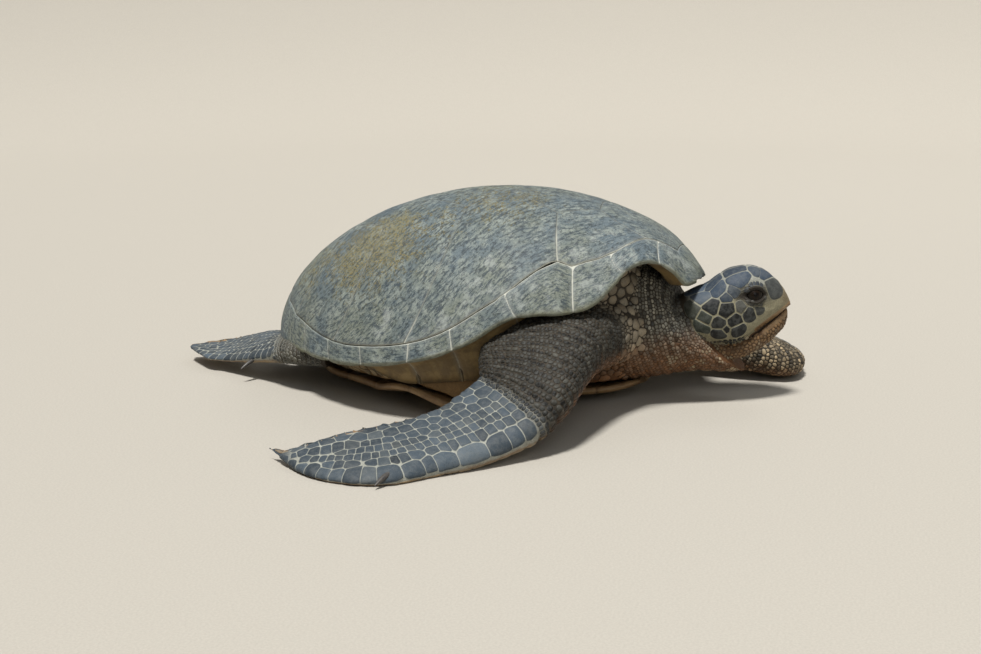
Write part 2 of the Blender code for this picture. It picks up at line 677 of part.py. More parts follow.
def limb(rows, t0, t1, count, shift=0.0):
    """Loops of a limb between two stations of its rows (t, lead xyz, trail xyz, thickness, edge)."""
    knots = [(r[0], tuple(r[1]) + tuple(r[2]) + (r[3], r[4])) for r in rows]
    t = np.linspace(t0, t1, count)
    p = curve(t, knots)
    e = curve(np.clip(t + 0.02, 0, 1), knots) - curve(np.clip(t - 0.02, 0, 1), knots)
    loops = []
    for a, d in zip(p, e):
        ahead = unit(d[:3] + d[3:6])
        loops.append(wing_section(a[:3], a[3:6], a[6], ahead, edge=a[7]) + ahead * shift)
    return floor_kept(loops, PRESS)


NEAR_ARM = [
    (0.00, (-0.100, -0.330, 0.150), (-0.110, -0.070, 0.150), 0.150, 0.80),
    (0.12, (-0.215, -0.285, 0.150), (-0.215, -0.045, 0.145), 0.150, 0.70),
    (0.24, (-0.330, -0.262, 0.122), (-0.305, -0.050, 0.138), 0.118, 0.60),
    (0.34, (-0.415, -0.243, 0.080), (-0.360, -0.062, 0.125), 0.095, 0.45),
    (0.42, (-0.468, -0.208, 0.042), (-0.385, -0.068, 0.113), 0.075, 0.30),
    (0.52, (-0.540, -0.140, 0.015), (-0.412, -0.050, 0.101), 0.058, 0.20),
    (0.64, (-0.615, -0.060, 0.007), (-0.458, -0.015, 0.077), 0.044, 0.14),
    (0.76, (-0.682, 0.012, 0.004), (-0.515, 0.055, 0.061), 0.036, 0.11),
    (0.85, (-0.692, 0.082, 0.003), (-0.549, 0.125, 0.049), 0.028, 0.11),
    (0.93, (-0.664, 0.160, 0.004), (-0.588, 0.186, 0.034), 0.020, 0.14),
    (0.98, (-0.622, 0.214, 0.009), (-0.592, 0.226, 0.024), 0.011, 0.2),
    (1.00, (-0.590, 0.254, 0.019), (-0.584, 0.256, 0.021), 0.005, 0.5),
]
FAR_ARM = [
    (0.00, (0.120, -0.360, 0.120), (0.130, -0.090, 0.125), 0.135, 0.80),
    (0.12, (0.150, -0.425, 0.094), (0.225, -0.195, 0.112), 0.122, 0.70),
    (0.24, (0.140, -0.510, 0.056), (0.262, -0.325, 0.086), 0.100, 0.60),
    (0.34, (0.158, -0.590, 0.030), (0.295, -0.405, 0.076), 0.084, 0.45),
    (0.42, (0.235, -0.602, 0.018), (0.335, -0.435, 0.072), 0.066, 0.30),
    (0.52, (0.345, -0.560, 0.012), (0.385, -0.412, 0.066), 0.054, 0.20),
    (0.64, (0.440, -0.485, 0.007), (0.425, -0.345, 0.057), 0.042, 0.14),
    (0.76, (0.515, -0.395, 0.004), (0.462, -0.270, 0.048), 0.034, 0.11),
    (0.85, (0.558, -0.310, 0.003), (0.490, -0.215, 0.040), 0.027, 0.11),
    (0.93, (0.583, -0.230, 0.003), (0.530, -0.178, 0.030), 0.020, 0.14),
    (0.98, (0.588, -0.178, 0.012), (0.564, -0.158, 0.024), 0.012, 0.2),
    (1.00, (0.586, -0.150, 0.020), (0.579, -0.146, 0.022), 0.006, 0.5),
]
NEAR_LEG = [
    (0.00, (-0.180, 0.300, 0.082), (-0.030, 0.330, 0.080), 0.072, 0.80),
    (0.20, (-0.165, 0.380, 0.072), (-0.010, 0.405, 0.080), 0.060, 0.60),
    (0.42, (-0.113, 0.459, 0.050), (0.040, 0.498, 0.074), 0.042, 0.35),
    (0.60, (-0.084, 0.519, 0.036), (0.074, 0.558, 0.057), 0.029, 0.20),
    (0.78, (-0.054, 0.579, 0.026), (0.088, 0.616, 0.040), 0.021, 0.15),
    (0.92, (-0.035, 0.631, 0.026), (0.076, 0.657, 0.034), 0.014, 0.18),
    (1.00, (0.022, 0.689, 0.030), (0.046, 0.696, 0.031), 0.007, 0.5),
]
FAR_LEG = [
    (0.00, (0.205, 0.300, 0.055), (0.060, 0.330, 0.065), 0.070, 0.80),
    (0.20, (0.210, 0.395, 0.048), (0.085, 0.405, 0.055), 0.062, 0.65),
    (0.42, (0.212, 0.475, 0.032), (0.100, 0.475, 0.045), 0.046, 0.40),
    (0.60, (0.216, 0.545, 0.011), (0.105, 0.545, 0.035), 0.031, 0.20),
    (0.78, (0.212, 0.600, 0.005), (0.110, 0.605, 0.026), 0.021, 0.15),
    (0.92, (0.196, 0.640, 0.004), (0.128, 0.645, 0.020), 0.013, 0.18),
    (1.00, (0.172, 0.664, 0.014), (0.148, 0.666, 0.018), 0.007, 0.5),
]


def build_limb(name, rows, split, counts, mat, group):
    upper, lower = name
    add(upper, *loft(limb(rows, 0.0, split, counts[0])), mat, group)
    add(lower, *loft(limb(rows, split, 1.0, counts[1], GAP * 1.5)), mat, group)


def build_tail(mat, group):
    rows = [(0.0, (0.045, 0.350, 0.086, 0.046, 0.034)), (0.45, (0.062, 0.418, 0.074, 0.027, 0.020)),
            (0.8, (0.072, 0.462, 0.065, 0.013, 0.011)), (1.0, (0.077, 0.486, 0.059, 0.004, 0.004))]
    ang = np.linspace(0, 2 * math.pi, 12, endpoint=False)
    loops = [np.array([x, y, z]) + np.stack([np.cos(ang) * a, 0 * ang, np.sin(ang) * b], -1)
             for x, y, z, a, b in curve(np.linspace(0, 1, 7), rows)]
    add("tail", *loft(loops), mat, group)


def build_claw(name, base, tip, radius, mat, group):
    """Short hooked cone standing off the leading edge of a flipper."""
    base, tip = np.array(base), np.array(tip)
    axis = tip - base
    side = unit(np.cross(axis, [0, 0, 1.0]))
    up = unit(np.cross(side, axis))
    ang = np.linspace(0, 2 * math.pi, 8, endpoint=False)
    loops = []
    for t, r in ((0.0, 1.0), (0.35, 0.86), (0.7, 0.55), (1.0, 0.12)):
        c = base + axis * t - np.array([0, 0, 1.0]) * radius * 0.5 * t * t
        loops.append(c + radius * r * (np.outer(np.cos(ang), side) + np.outer(np.sin(ang), up)))
    add(name, *loft(floor_kept(loops)), mat, group)


# ---------------------------------------------------------------- assembly
def main():
    for obj in list(bpy.data.objects):
        bpy.data.objects.remove(obj)
    group = bpy.data.collections.new("green_sea_turtle")
    cutters = bpy.data.collections.new("cutters")
    cutters.hide_render = True
    for c in (group, cutters):
        bpy.context.scene.collection.children.link(c)

    scute = finish("scute_horn", (0.13, 0.14, 0.12), 0.45)
    belly = finish("plastron_horn", (0.62, 0.40, 0.20), 0.5)
    skin = finish("skin", (0.24, 0.20, 0.16), 0.6)
    beak = finish("beak_horn", (0.42, 0.30, 0.17), 0.45)
    eye = finish("eye", (0.02, 0.015, 0.01), 0.08)
    claw = finish("claw_horn", (0.12, 0.10, 0.08), 0.4)

    build_scutes(scute, group)
    build_marginals(1, "left", scute, group)
    build_marginals(-1, "right", scute, group)
    build_plastron(belly, group)
    build_trunk(skin, group)
    build_head(skin, group)
    build_jaw(beak, group)
    build_eye(1, "right", eye, group)
    build_eye(-1, "left", eye, group)
    build_neck(skin, group)
    build_limb(("upper_arm_right", "front_flipper_right"), NEAR_ARM, 0.42, (7, 14), skin, group)
    build_limb(("upper_arm_left", "front_flipper_left"), FAR_ARM, 0.42, (7, 14), skin, group)
    build_limb(("thigh_right", "rear_flipper_right"), NEAR_LEG, 0.30, (5, 9), skin, group)
    build_limb(("thigh_left", "rear_flipper_left"), FAR_LEG, 0.30, (5, 9), skin, group)
    build_tail(skin, group)
    build_claw("claw_front_right", (-0.672, 0.012, 0.016), (-0.702, 0.022, 0.010), 0.0055, claw, group)
    build_claw("claw_front_left", (0.505, -0.405, 0.016), (0.533, -0.412, 0.010), 0.0055, claw, group)
    build_claw("claw_rear_right", (-0.098, 0.495, 0.040), (-0.122, 0.508, 0.031), 0.0045, claw, group)
    build_claw("claw_rear_left", (0.208, 0.520, 0.025), (0.232, 0.530, 0.016), 0.0045, claw, group)

    cut("plastron", ["marginals_left", "marginals_right"], 0.0008)
    cut("trunk", ["plastron"])
    cut("head", ["eye_right", "eye_left", "nuchal"])
    cut("neck", ["trunk", "head", "lower_jaw", "nuchal", "marginals_left", "marginals_right",
                 "plastron"])
    for side in ("left", "right"):
        cut("upper_arm_" + side, ["marginals_" + side], 0.0018)
        cut("upper_arm_" + side, ["trunk", "neck", "plastron"])
        cut("thigh_" + side, ["trunk", "marginals_" + side, "plastron"])
        cut("rear_flipper_" + side, ["marginals_left", "marginals_right", "trunk"])
        cut("claw_front_" + side, ["front_flipper_" + side])
        cut("claw_rear_" + side, ["rear_flipper_" + side])
    cut("tail", ["trunk", "marginals_left", "marginals_right", "thigh_left", "thigh_right",
                 "rear_flipper_left", "rear_flipper_right", "plastron"])
    for helper in list(cutters.objects):
        bpy.data.objects.remove(helper)
    for obj in NODES.values():
        for vert in obj.data.vertices:
            vert.co -= Vector(ORIGIN)


main()
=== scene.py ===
"""Looks of a life-size green sea turtle at rest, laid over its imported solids."""

import logging
import math
from dataclasses import dataclass, field, fields
from enum import IntEnum

import bmesh
import bpy
import numpy as np
from mathutils import Matrix, Vector
from mathutils.bvhtree import BVHTree
from mathutils.geometry import delaunay_2d_cdt
from mathutils.kdtree import KDTree


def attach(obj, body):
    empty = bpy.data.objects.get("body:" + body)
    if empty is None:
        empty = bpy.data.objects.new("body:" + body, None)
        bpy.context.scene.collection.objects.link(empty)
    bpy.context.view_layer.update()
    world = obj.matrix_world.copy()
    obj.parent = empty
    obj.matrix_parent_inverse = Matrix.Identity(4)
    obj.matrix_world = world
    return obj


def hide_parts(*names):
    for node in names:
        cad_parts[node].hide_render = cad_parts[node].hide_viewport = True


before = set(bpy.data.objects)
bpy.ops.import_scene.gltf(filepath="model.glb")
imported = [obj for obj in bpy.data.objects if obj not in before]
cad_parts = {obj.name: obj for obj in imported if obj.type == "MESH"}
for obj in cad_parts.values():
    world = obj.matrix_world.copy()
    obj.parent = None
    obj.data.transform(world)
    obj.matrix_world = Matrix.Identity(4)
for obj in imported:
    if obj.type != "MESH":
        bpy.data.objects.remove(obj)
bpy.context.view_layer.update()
LOG = logging.getLogger("turtle")
Array = np.ndarray
Material = bpy.types.Material
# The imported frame's origin, seen from the shell's own frame, in which every form is set out.
ORIGIN = np.array([-0.0577, 0.0472, 0.0])


# ------------------------------------------------------------------ small maths
def unit(v: Array) -> Array:
    """Vectors of length one."""
    return v / np.maximum(np.linalg.norm(v, axis=-1, keepdims=True), 1e-12)


def smooth(x: Array, low: float, high: float) -> Array:
    """Smooth step from 0 at low to 1 at high."""
    t = np.clip((np.asarray(x, float) - low) / (high - low), 0, 1)
    return t * t * (3 - 2 * t)


def hump(x: Array, middle: float, half: float) -> Array:
    """Soft bell of height one."""
    return np.exp(-((np.asarray(x, float) - middle) / half) ** 2)


def curve(x: Array, knots: list) -> Array:
    """Smooth curve through knots.

    Args:
        x: Places to read.
        knots: Pairs of (x, value); values may be tuples.
    Returns:
        One value, or one row of values, per x.
    """
    xs = np.array([k[0] for k in knots], float)
    ys = np.array([k[1] for k in knots], float)
    flat = ys.ndim == 1
    ys = ys.reshape(len(xs), -1)
    step = np.diff(xs)[:, None]
    slope = np.diff(ys, axis=0) / step
    m = np.zeros_like(ys)
    for i in range(1, len(xs) - 1):
        a, b = slope[i - 1], slope[i]
        w = step[i - 1] / (step[i - 1] + step[i])
        m[i] = np.where(a * b > 0, a * (1 - w) + b * w, 0.5 * (a + b) * (0.35 if flat else 1.0))
    m[0], m[-1] = slope[0], slope[-1]
    x = np.atleast_1d(np.asarray(x, float))
    k = np.clip(np.searchsorted(xs, x) - 1, 0, len(xs) - 2)
    h = xs[k + 1] - xs[k]
    t = np.clip((x - xs[k]) / h, 0, 1)[:, None]
    h = h[:, None]
    out = ((2 * t**3 - 3 * t**2 + 1) * ys[k] + (t**3 - 2 * t**2 + t) * h * m[k]
           + (-2 * t**3 + 3 * t**2) * ys[k + 1] + (t**3 - t**2) * h * m[k + 1])
    return out[:, 0] if flat else out


class Lattice:
    """Seeded smooth noise over space."""

    def __init__(self, seed: int, size: int = 48) -> None:
        """Fills a cube of random values, which repeats every size cells."""
        self.size = size
        self.grid = np.random.default_rng(seed).random((size,) * 3) * 2 - 1

    def at(self, p: Array, scale: float) -> Array:
        """Noise in -1..1.

        Args:
            p: Points.
            scale: Rough size of its features in metres.
        Returns:
            One value per point.
        """
        q = np.asarray(p, float) / scale + 100.0
        i = np.floor(q).astype(int)
        f = q - i
        f = f * f * (3 - 2 * f)
        out = np.zeros(q.shape[:-1])
        for a in (0, 1):
            for b in (0, 1):
                for c in (0, 1):
                    w = ((f[..., 0] if a else 1 - f[..., 0]) * (f[..., 1] if b else 1 - f[..., 1])
                         * (f[..., 2] if c else 1 - f[..., 2]))
                    j = (i + (a, b, c)) % self.size
                    out += w * self.grid[j[..., 0], j[..., 1], j[..., 2]]
        return out

    def deep(self, p: Array, scale: float, layers: int = 3) -> Array:
        """Noise with finer noise laid over it."""
        return sum(self.at(p + 0.37 * k, scale / 2**k) * 0.5**k for k in range(layers))


NOISE = Lattice(11)


# ------------------------------------------------------------------ meshes
@dataclass
class Solid:
    """Vertices, faces and what is painted on them."""

    verts: Array
    faces: Array
    paint: dict[str, Array] = field(default_factory=dict)


def tube(loops: Array) -> Solid:
    """Closed skin over closed loops, with a fan at each end.

    Args:
        loops: Points by station and by place round the loop.
    Returns:
        The solid; its last two vertices are the centres of the fans.
    """
    n, m = loops.shape[:2]
    i, j = np.meshgrid(np.arange(n - 1), np.arange(m), indexing="ij")
    k = (j + 1) % m
    quads = np.stack([i * m + j, i * m + k, (i + 1) * m + k, (i + 1) * m + j], -1).reshape(-1, 4)
    tris = np.concatenate([quads[:, [0, 1, 2]], quads[:, [0, 2, 3]]])
    r = np.arange(m)
    q = (r + 1) % m
    first = np.stack([np.full(m, n * m), q, r], -1)
    last = np.stack([np.full(m, n * m + 1), (n - 1) * m + r, (n - 1) * m + q], -1)
    verts = np.concatenate([loops.reshape(-1, 3), loops[:1].mean(1), loops[-1:].mean(1)])
    return Solid(verts, np.concatenate([tris, first, last]))


def make_mesh(name: str, solid: Solid, uv: Array | None = None) -> bpy.types.Object:
    """Builds a smooth object with its painted attributes.

    Args:
        name: Object name.
        solid: Vertices in the shell's frame, triangles and per-vertex paint.
        uv: Optional per-vertex place on the unwrap.
    Returns:
        The linked object.
    """
    verts = np.asarray(solid.verts, np.float32) - ORIGIN.astype(np.float32)
    faces = np.asarray(solid.faces, np.int32)
    mesh = bpy.data.meshes.new(name)
    mesh.vertices.add(len(verts))
    mesh.vertices.foreach_set("co", verts.ravel())
    mesh.loops.add(faces.size)
    mesh.loops.foreach_set("vertex_index", faces.ravel())
    mesh.polygons.add(len(faces))
    mesh.polygons.foreach_set("loop_start", np.arange(len(faces), dtype=np.int32) * 3)
    mesh.polygons.foreach_set("use_smooth", np.ones(len(faces), bool))
    mesh.update(calc_edges=True)
    mesh.validate()
    for key, value in solid.paint.items():
        value = np.asarray(value, np.float32)
        if value.ndim == 1:
            mesh.attributes.new(key, "FLOAT", "POINT").data.foreach_set("value", value)
        elif key.endswith("_at"):
            mesh.attributes.new(key, "FLOAT_VECTOR", "POINT").data.foreach_set("vector", value.ravel())
        else:
            rgba = np.concatenate([value, np.ones((len(value), 1), np.float32)], 1)
            mesh.attributes.new(key, "FLOAT_COLOR", "POINT").data.foreach_set("color", rgba.ravel())
    if uv is not None:
        layer = mesh.uv_layers.new(name="OFBake")
        layer.data.foreach_set("uv", np.asarray(uv, np.float32)[faces.ravel()].ravel())
    obj = bpy.data.objects.new(name, mesh)
    bpy.context.scene.collection.objects.link(obj)
    return obj


def turned_out(solid: Solid, centre: Array) -> Array:
    """Turns a solid's faces to point away from a centre.

    Args:
        solid: The solid, changed in place.
        centre: A point well inside it.
    Returns:
        Its vertex normals.
    """
    n = normals_of(solid)
    if ((solid.verts - centre) * n).sum() < 0:
        solid.faces, n = solid.faces[:, ::-1], -n
    return n


def tree_of(verts: Array, faces: Array) -> BVHTree:
    """Search tree over triangles."""
    return BVHTree.FromPolygons([tuple(p) for p in verts], [tuple(f) for f in np.asarray(faces).tolist()])


def normals_of(solid: Solid) -> Array:
    """Area-weighted vertex normals of a solid."""
    v, f = solid.verts, solid.faces
    n = np.cross(v[f[:, 1]] - v[f[:, 0]], v[f[:, 2]] - v[f[:, 0]])
    out = np.zeros_like(v)
    for c in range(3):
        np.add.at(out, f[:, c], n)
    return unit(out)


def relax(solid: Solid, values: Array, rounds: int, hold: Array | None = None) -> Array:
    """Averages values over neighbouring vertices.

    Args:
        solid: The mesh that gives the neighbours.
        values: One value or row per vertex.
        rounds: How many times.
        hold: How firmly each vertex stays as it is, 0 to 1.
    Returns:
        The averaged values.
    """
    f = solid.faces
    e = np.concatenate([f[:, [0, 1]], f[:, [1, 2]], f[:, [2, 0]]])
    count = np.bincount(e.ravel(), minlength=len(solid.verts)).astype(float)
    values = np.array(values, float)
    flat = values.ndim == 1
    values = values.reshape(len(values), -1)
    for _ in range(rounds):
        total = np.stack([np.bincount(e[:, 0], values[e[:, 1], c], len(count))
                          + np.bincount(e[:, 1], values[e[:, 0], c], len(count))
                          for c in range(values.shape[1])], -1)
        mean = total / np.maximum(count, 1)[:, None]
        w = 0.6 if hold is None else (0.6 * (1 - hold))[:, None]
        values = values + (mean - values) * w
    return values[:, 0] if flat else values


def kd_of(points: Array) -> KDTree:
    """Search tree over points."""
    tree = KDTree(len(points))
    for i, q in enumerate(points):
        tree.insert(q, i)
    tree.balance()
    return tree


def dist_to(points: Array, line: Array) -> tuple[Array, Array]:
    """Distance from each point to the nearest sample of a line, and which sample."""
    tree = kd_of(line)
    found = [tree.find(p) for p in points]
    return np.array([x[2] for x in found]), np.array([x[1] for x in found])


def run_length(line: Array) -> Array:
    """Length along a line up to each of its points."""
    return np.concatenate([[0], np.cumsum(np.linalg.norm(np.diff(line, axis=0), axis=1))])


def turn(count: int) -> Array:
    """Angles of evenly spaced points round a circle."""
    return np.linspace(0, 2 * math.pi, count, endpoint=False)


# ------------------------------------------------------------------ shell
@dataclass(frozen=True)
class ShellSizes:
    """Carapace and plastron, as fractions of the carapace's length."""

    length: float = 0.90
    roll: float = math.radians(5.0)
    lift: float = 0.012
    pitch: float = math.radians(7.865)
    half: float = 0.375
    widen: float = 0.639
    narrow: float = 0.685
    crown: float = 0.434
    crown_at: float = 0.52
    crown_front: float = 0.168
    crown_rear: float = 0.141
    arch_a: float = 2.219
    arch_b: float = 0.731
    plate: float = 0.006
    lip: float = 0.0045
    under: float = 0.055
    flat_half: float = 0.235
    plastron_thick: float = 0.012


RIM = [(0.0, 0.190), (0.010, 0.187), (0.030, 0.184), (0.050, 0.216), (0.080, 0.2435),
       (0.100, 0.2475), (0.130, 0.236), (0.160, 0.208), (0.190, 0.182), (0.220, 0.170),
       (0.262, 0.169), (0.300, 0.173), (0.340, 0.173), (0.375, 0.165), (0.430, 0.138),
       (0.490, 0.117), (0.550, 0.105), (0.603, 0.100), (0.700, 0.099), (0.790, 0.108),
       (0.865, 0.122), (0.930, 0.134), (1.0, 0.141)]
SEAM = [(0.10, 0.40), (0.135, 0.545), (0.175, 0.578), (0.215, 0.592), (0.235, 0.613),
        (0.265, 0.587), (0.310, 0.660), (0.367, 0.770), (0.425, 0.793), (0.485, 0.824),
        (0.580, 0.847), (0.690, 0.838), (0.775, 0.810), (0.840, 0.740), (0.900, 0.620)]
MARGINAL_SEAMS = ((0.070, 0.080), (0.130, 0.166), (0.234, 0.235), (0.343, 0.367), (0.481, 0.485),
                  (0.585, 0.579), (0.700, 0.700), (0.790, 0.790), (0.865, 0.865), (0.930, 0.930))
PLASTRON = [(0.150, 0.030), (0.175, 0.068), (0.21, 0.100), (0.25, 0.122), (0.30, 0.172),
            (0.35, 0.285), (0.47, 0.322), (0.60, 0.312), (0.66, 0.280), (0.72, 0.215),
            (0.80, 0.140), (0.87, 0.085), (0.91, 0.030)]


@dataclass
class ShellForm:
    """The shell's surfaces as functions of station s (front to tail) and side v (-1 to 1)."""

    z: ShellSizes
    FRONT, REAR, NUCHAL = 0.004, 0.996, 0.014
    V1C, V12 = (0.100, 0.118), (0.200, 0.088)
    V2C, V23 = (0.278, 0.160), (0.385, 0.092)
    V3C, V34 = (0.475, 0.158), (0.575, 0.088)
    V4C, V45 = (0.670, 0.148), (0.760, 0.072)
    NUCHAL_REAR, TAIL_CORNER = (0.047, 0.056), (0.940, 0.085)
    C12, C23, C34, C4V5 = 0.265, 0.590, 0.775, 0.900
    TAIL_SEAM = 0.955
    CROWN_POWER, MERGE = 0.62, 1e-6

    def to_world(self, p: Array) -> Array:
        """Level shell to the rolled, lifted shell."""
        c, s = math.cos(self.z.roll), math.sin(self.z.roll)
        p = np.asarray(p, float)
        return np.stack([p[..., 0] * c + p[..., 2] * s, p[..., 1],
                         -p[..., 0] * s + p[..., 2] * c + self.z.lift], -1)

    def half_width(self, s: Array) -> Array:
        """Half the shell's width at each station."""
        z = self.z
        m = z.widen / (z.widen + z.narrow)
        return z.half * s**z.widen * (1 - s)**z.narrow / (m**z.widen * (1 - m)**z.narrow)

    def rim_height(self, s: Array) -> Array:
        """Height of the rim at each station."""
        s = np.asarray(s, float)
        return curve(s.ravel(), RIM).reshape(s.shape)

    def crown_height(self, s: Array) -> Array:
        """Height of the back's midline at each station."""
        z = self.z
        ends, c = (z.crown_front, z.crown_rear), self.CROWN_POWER
        d = c * (1 - z.crown_at) / z.crown_at
        top = z.crown_at**c * (1 - z.crown_at)**d
        base = ends[0] * (1 - z.crown_at) + ends[1] * z.crown_at
        return ends[0] * (1 - s) + ends[1] * s + (z.crown - base) * s**c * (1 - s)**d / top

    def pitched(self, x: Array, s: Array, h: Array) -> Array:
        """World points of (side, station, height) in shell lengths."""
        c, n = math.cos(self.z.pitch), math.sin(self.z.pitch)
        y = s - 0.5
        return self.to_world(np.stack([x, y * c + h * n, -y * n + h * c], -1) * self.z.length)

    def dome(self, s: Array, v: Array) -> Array:
        """Outer face of the carapace."""
        s, v = np.broadcast_arrays(np.asarray(s, float), np.asarray(v, float))
        u = np.sign(v) * (1 - (1 - np.abs(v))**2)
        rim = self.rim_height(s)
        crown = np.maximum(self.crown_height(s), rim)
        h = rim + (crown - rim) * np.maximum(1 - np.abs(u)**self.z.arch_a, 0)**self.z.arch_b
        return self.pitched(self.half_width(s) * u, s, h)

    def out(self, s: Array, v: Array) -> Array:
        """Outward normal of the carapace."""
        e = 1e-3
        s = np.clip(s, self.FRONT + e, self.REAR - e)
        v = np.clip(v, -0.985, 0.985)
        a = self.dome(s + e, v) - self.dome(s - e, v)
        b = self.dome(s, v + e) - self.dome(s, v - e)
        n = np.cross(b, a)
        return unit(n) * np.sign(n[..., 2:3] + 1e-9)

    def inner(self, s: Array, v: Array, depth: float) -> Array:
        """A face under the carapace at an even depth."""
        return self.dome(s, v) - self.out(s, v) * depth

    def corner(self, point: tuple) -> Array:
        """(s, v) of a point given by station and distance from the midline."""
        u = np.clip(abs(point[1]) / self.half_width(point[0]), 0, 1)
        return np.array([point[0], 1 - math.sqrt(1 - u)])

    @staticmethod
    def run(a: Array, b: Array, n: int, bend: float = 1.0) -> Array:
        """Side of a scute from a to b in n steps, bowed where bend isn't 1."""
        t = np.linspace(0, 1, n + 1)
        return np.stack([a[0] + (b[0] - a[0]) * t**bend, a[1] + (b[1] - a[1]) * t], -1)

    @staticmethod
    def seam_v(s: Array) -> Array:
        """Side of the seam between dome and rim at each station."""
        return curve(s, SEAM)

    def along_seam(self, s0: float, s1: float, n: int) -> Array:
        """The dome's lower seam from one station to another in n steps."""
        s = np.linspace(s0, s1, n + 1)
        return np.stack([s, self.seam_v(s)], -1)

    def on_seam(self, s: float) -> Array:
        """(s, v) of the dome's lower seam at a station."""
        return np.array([s, self.seam_v(s)[0]])

    def outlines(self, fine: int) -> dict[str, Array]:
        """Outline of each scute of the dome.

        Args:
            fine: Points for each coarse step.
        Returns:
            (s, v) of the outlines by node name.
        """
        c1, c2, c3, c4 = (self.on_seam(s) for s in (self.C12, self.C23, self.C34, self.C4V5))
        v1c = self.on_seam(self.V1C[0])
        v12, v2c, v23, v3c = (self.corner(p) for p in (self.V12, self.V2C, self.V23, self.V3C))
        v34, v4c, v45, nuc = (self.corner(p) for p in (self.V34, self.V4C, self.V45, self.NUCHAL_REAR))
        k = [np.array([q, 0.0]) for q in (self.FRONT, self.NUCHAL_REAR[0], self.V12[0] + 0.006,
                                          self.V23[0] + 0.006, self.V34[0], self.V45[0], self.TAIL_SEAM)]
        front, side0 = np.array([self.FRONT, 1.0]), np.array([self.NUCHAL, 1.0])
        tail = self.corner(self.TAIL_CORNER)

        def ring(start: Array, *legs: tuple | Array) -> Array:
            """Outline from a corner along legs: (corner, steps, bend), or points."""
            pts, here = [start], start
            for leg in legs:
                plain = isinstance(leg, tuple)
                line = self.run(here, leg[0], leg[1] * fine, *leg[2:]) if plain else leg
                here = leg[0] if plain else here
                for p in line:
                    if np.abs(p - pts[-1]).max() > self.MERGE:
                        pts.append(p)
            if np.abs(pts[0] - pts[-1]).max() < self.MERGE:
                pts.pop()
            return np.array(pts)

        def seam(s0: float, s1: float, steps: int) -> Array:
            """The lower seam, from the rear forward."""
            return self.along_seam(s0, s1, steps * fine)[::-1]

        def back(a: Array, b: Array, steps: int, bend: float = 1.0) -> Array:
            """A side shared with the scute in front, run the other way."""
            return self.run(a, b, steps * fine, bend)[::-1]

        half = {
            "nuchal": ring(k[0], (front, 3), (side0, 1), (nuc, 3), (k[1], 2)),
            "vertebral_1": ring(k[1], (nuc, 2), (v1c, 4), (v12, 4), (k[2], 2)),
            "vertebral_2": ring(k[2], (v12, 2), (v2c, 3), (v23, 4), (k[3], 2)),
            "vertebral_3": ring(k[3], (v23, 2), (v3c, 3), (v34, 3), (k[4], 2)),
            "vertebral_4": ring(k[4], (v34, 2), (v4c, 3), (v45, 3), (k[5], 2)),
            "vertebral_5": ring(k[5], (v45, 2), (c4, 5, 0.8), (tail, 3), (k[6], 2)),
        }
        whole = {name: np.concatenate([p, (p * (1, -1))[::-1][np.abs(p[::-1, 1]) > 1e-9]])
                 for name, p in half.items()}
        side = {
            "costal_1": ring(v1c, (v12, 4), (v2c, 3), (c1, 4), seam(self.V1C[0], self.C12, 6)),
            "costal_2": ring(v2c, (v23, 4), (v3c, 3), (c2, 5, 1.5), seam(self.C12, self.C23, 8),
                             back(v2c, c1, 4)),
            "costal_3": ring(v3c, (v34, 3), (v4c, 3), (c3, 5, 1.4), seam(self.C23, self.C34, 5),
                             back(v3c, c2, 5, 1.5)),
            "costal_4": ring(v4c, (v45, 3), (c4, 5, 0.8), seam(self.C34, self.C4V5, 4),
                             back(v4c, c3, 5, 1.4)),
        }
        for name, pts in side.items():
            whole[name + "_left"] = pts
            whole[name + "_right"] = (pts * (1, -1))[::-1]
        return whole

    def ring_rows(self) -> tuple[Array, Array]:
        """The marginals' inner seam and the rim point that faces it, left side."""
        nuc, v1c = self.corner(self.NUCHAL_REAR), self.on_seam(self.V1C[0])
        last, tail = self.on_seam(self.C4V5), self.corner(self.TAIL_CORNER)
        end = np.array([self.TAIL_SEAM, 0.0])
        steps = ((self.V1C[0], self.C12, 6), (self.C12, self.C23, 8), (self.C23, self.C34, 5),
                 (self.C34, self.C4V5, 4))
        seam = np.concatenate([self.run(nuc, v1c, 4)] + [self.along_seam(*s)[1:] for s in steps]
                              + [self.run(last, tail, 3)[1:], self.run(tail, end, 2)[1:]])
        rim = np.stack([seam[:, 0], np.ones(len(seam))], -1)
        rim[:5, 0] = np.array([self.NUCHAL, 0.030, 0.050, 0.074, self.V1C[0]])
        rim[-6:, 0] = np.array([self.C4V5, 0.932, 0.962, 0.984, self.REAR, self.REAR])
        rim[-1, 1] = 0.0
        return seam, rim

    def ring_under(self, s: Array) -> tuple[Array, Array]:
        """How far the rim's underside reaches inward, and how far it drops to the bridge."""
        wide = np.minimum(self.z.under, 0.50 * self.half_width(s))
        bridge = smooth(s, 0.30, 0.46) * (1 - smooth(s, 0.60, 0.78))
        return wide, -0.002 + (self.rim_height(s) - 0.048) * bridge

    def under_point(self, s: Array, v: Array, side: int, inset: Array, drop: Array) -> Array:
        """Points under the rim.

        Args:
            s: Stations.
            v: Side of the rim at each.
            side: 1 for left, -1 for right.
            inset: Distance inward in plan.
            drop: Distance below the rim's edge.
        Returns:
            World points.
        """
        w = self.half_width(s) * (1 - (1 - v)**2)
        e = 2e-3
        s0, s1 = np.maximum(s - e, 1e-4), np.minimum(s + e, 1 - 1e-4)
        d = unit(np.stack([-(s1 - s0), self.half_width(s1) - self.half_width(s0)], -1))
        x = np.maximum(w + d[..., 0] * inset, 0.0008)
        return self.pitched(side * x, s + d[..., 1] * inset * 0.75, self.rim_height(s) - drop)

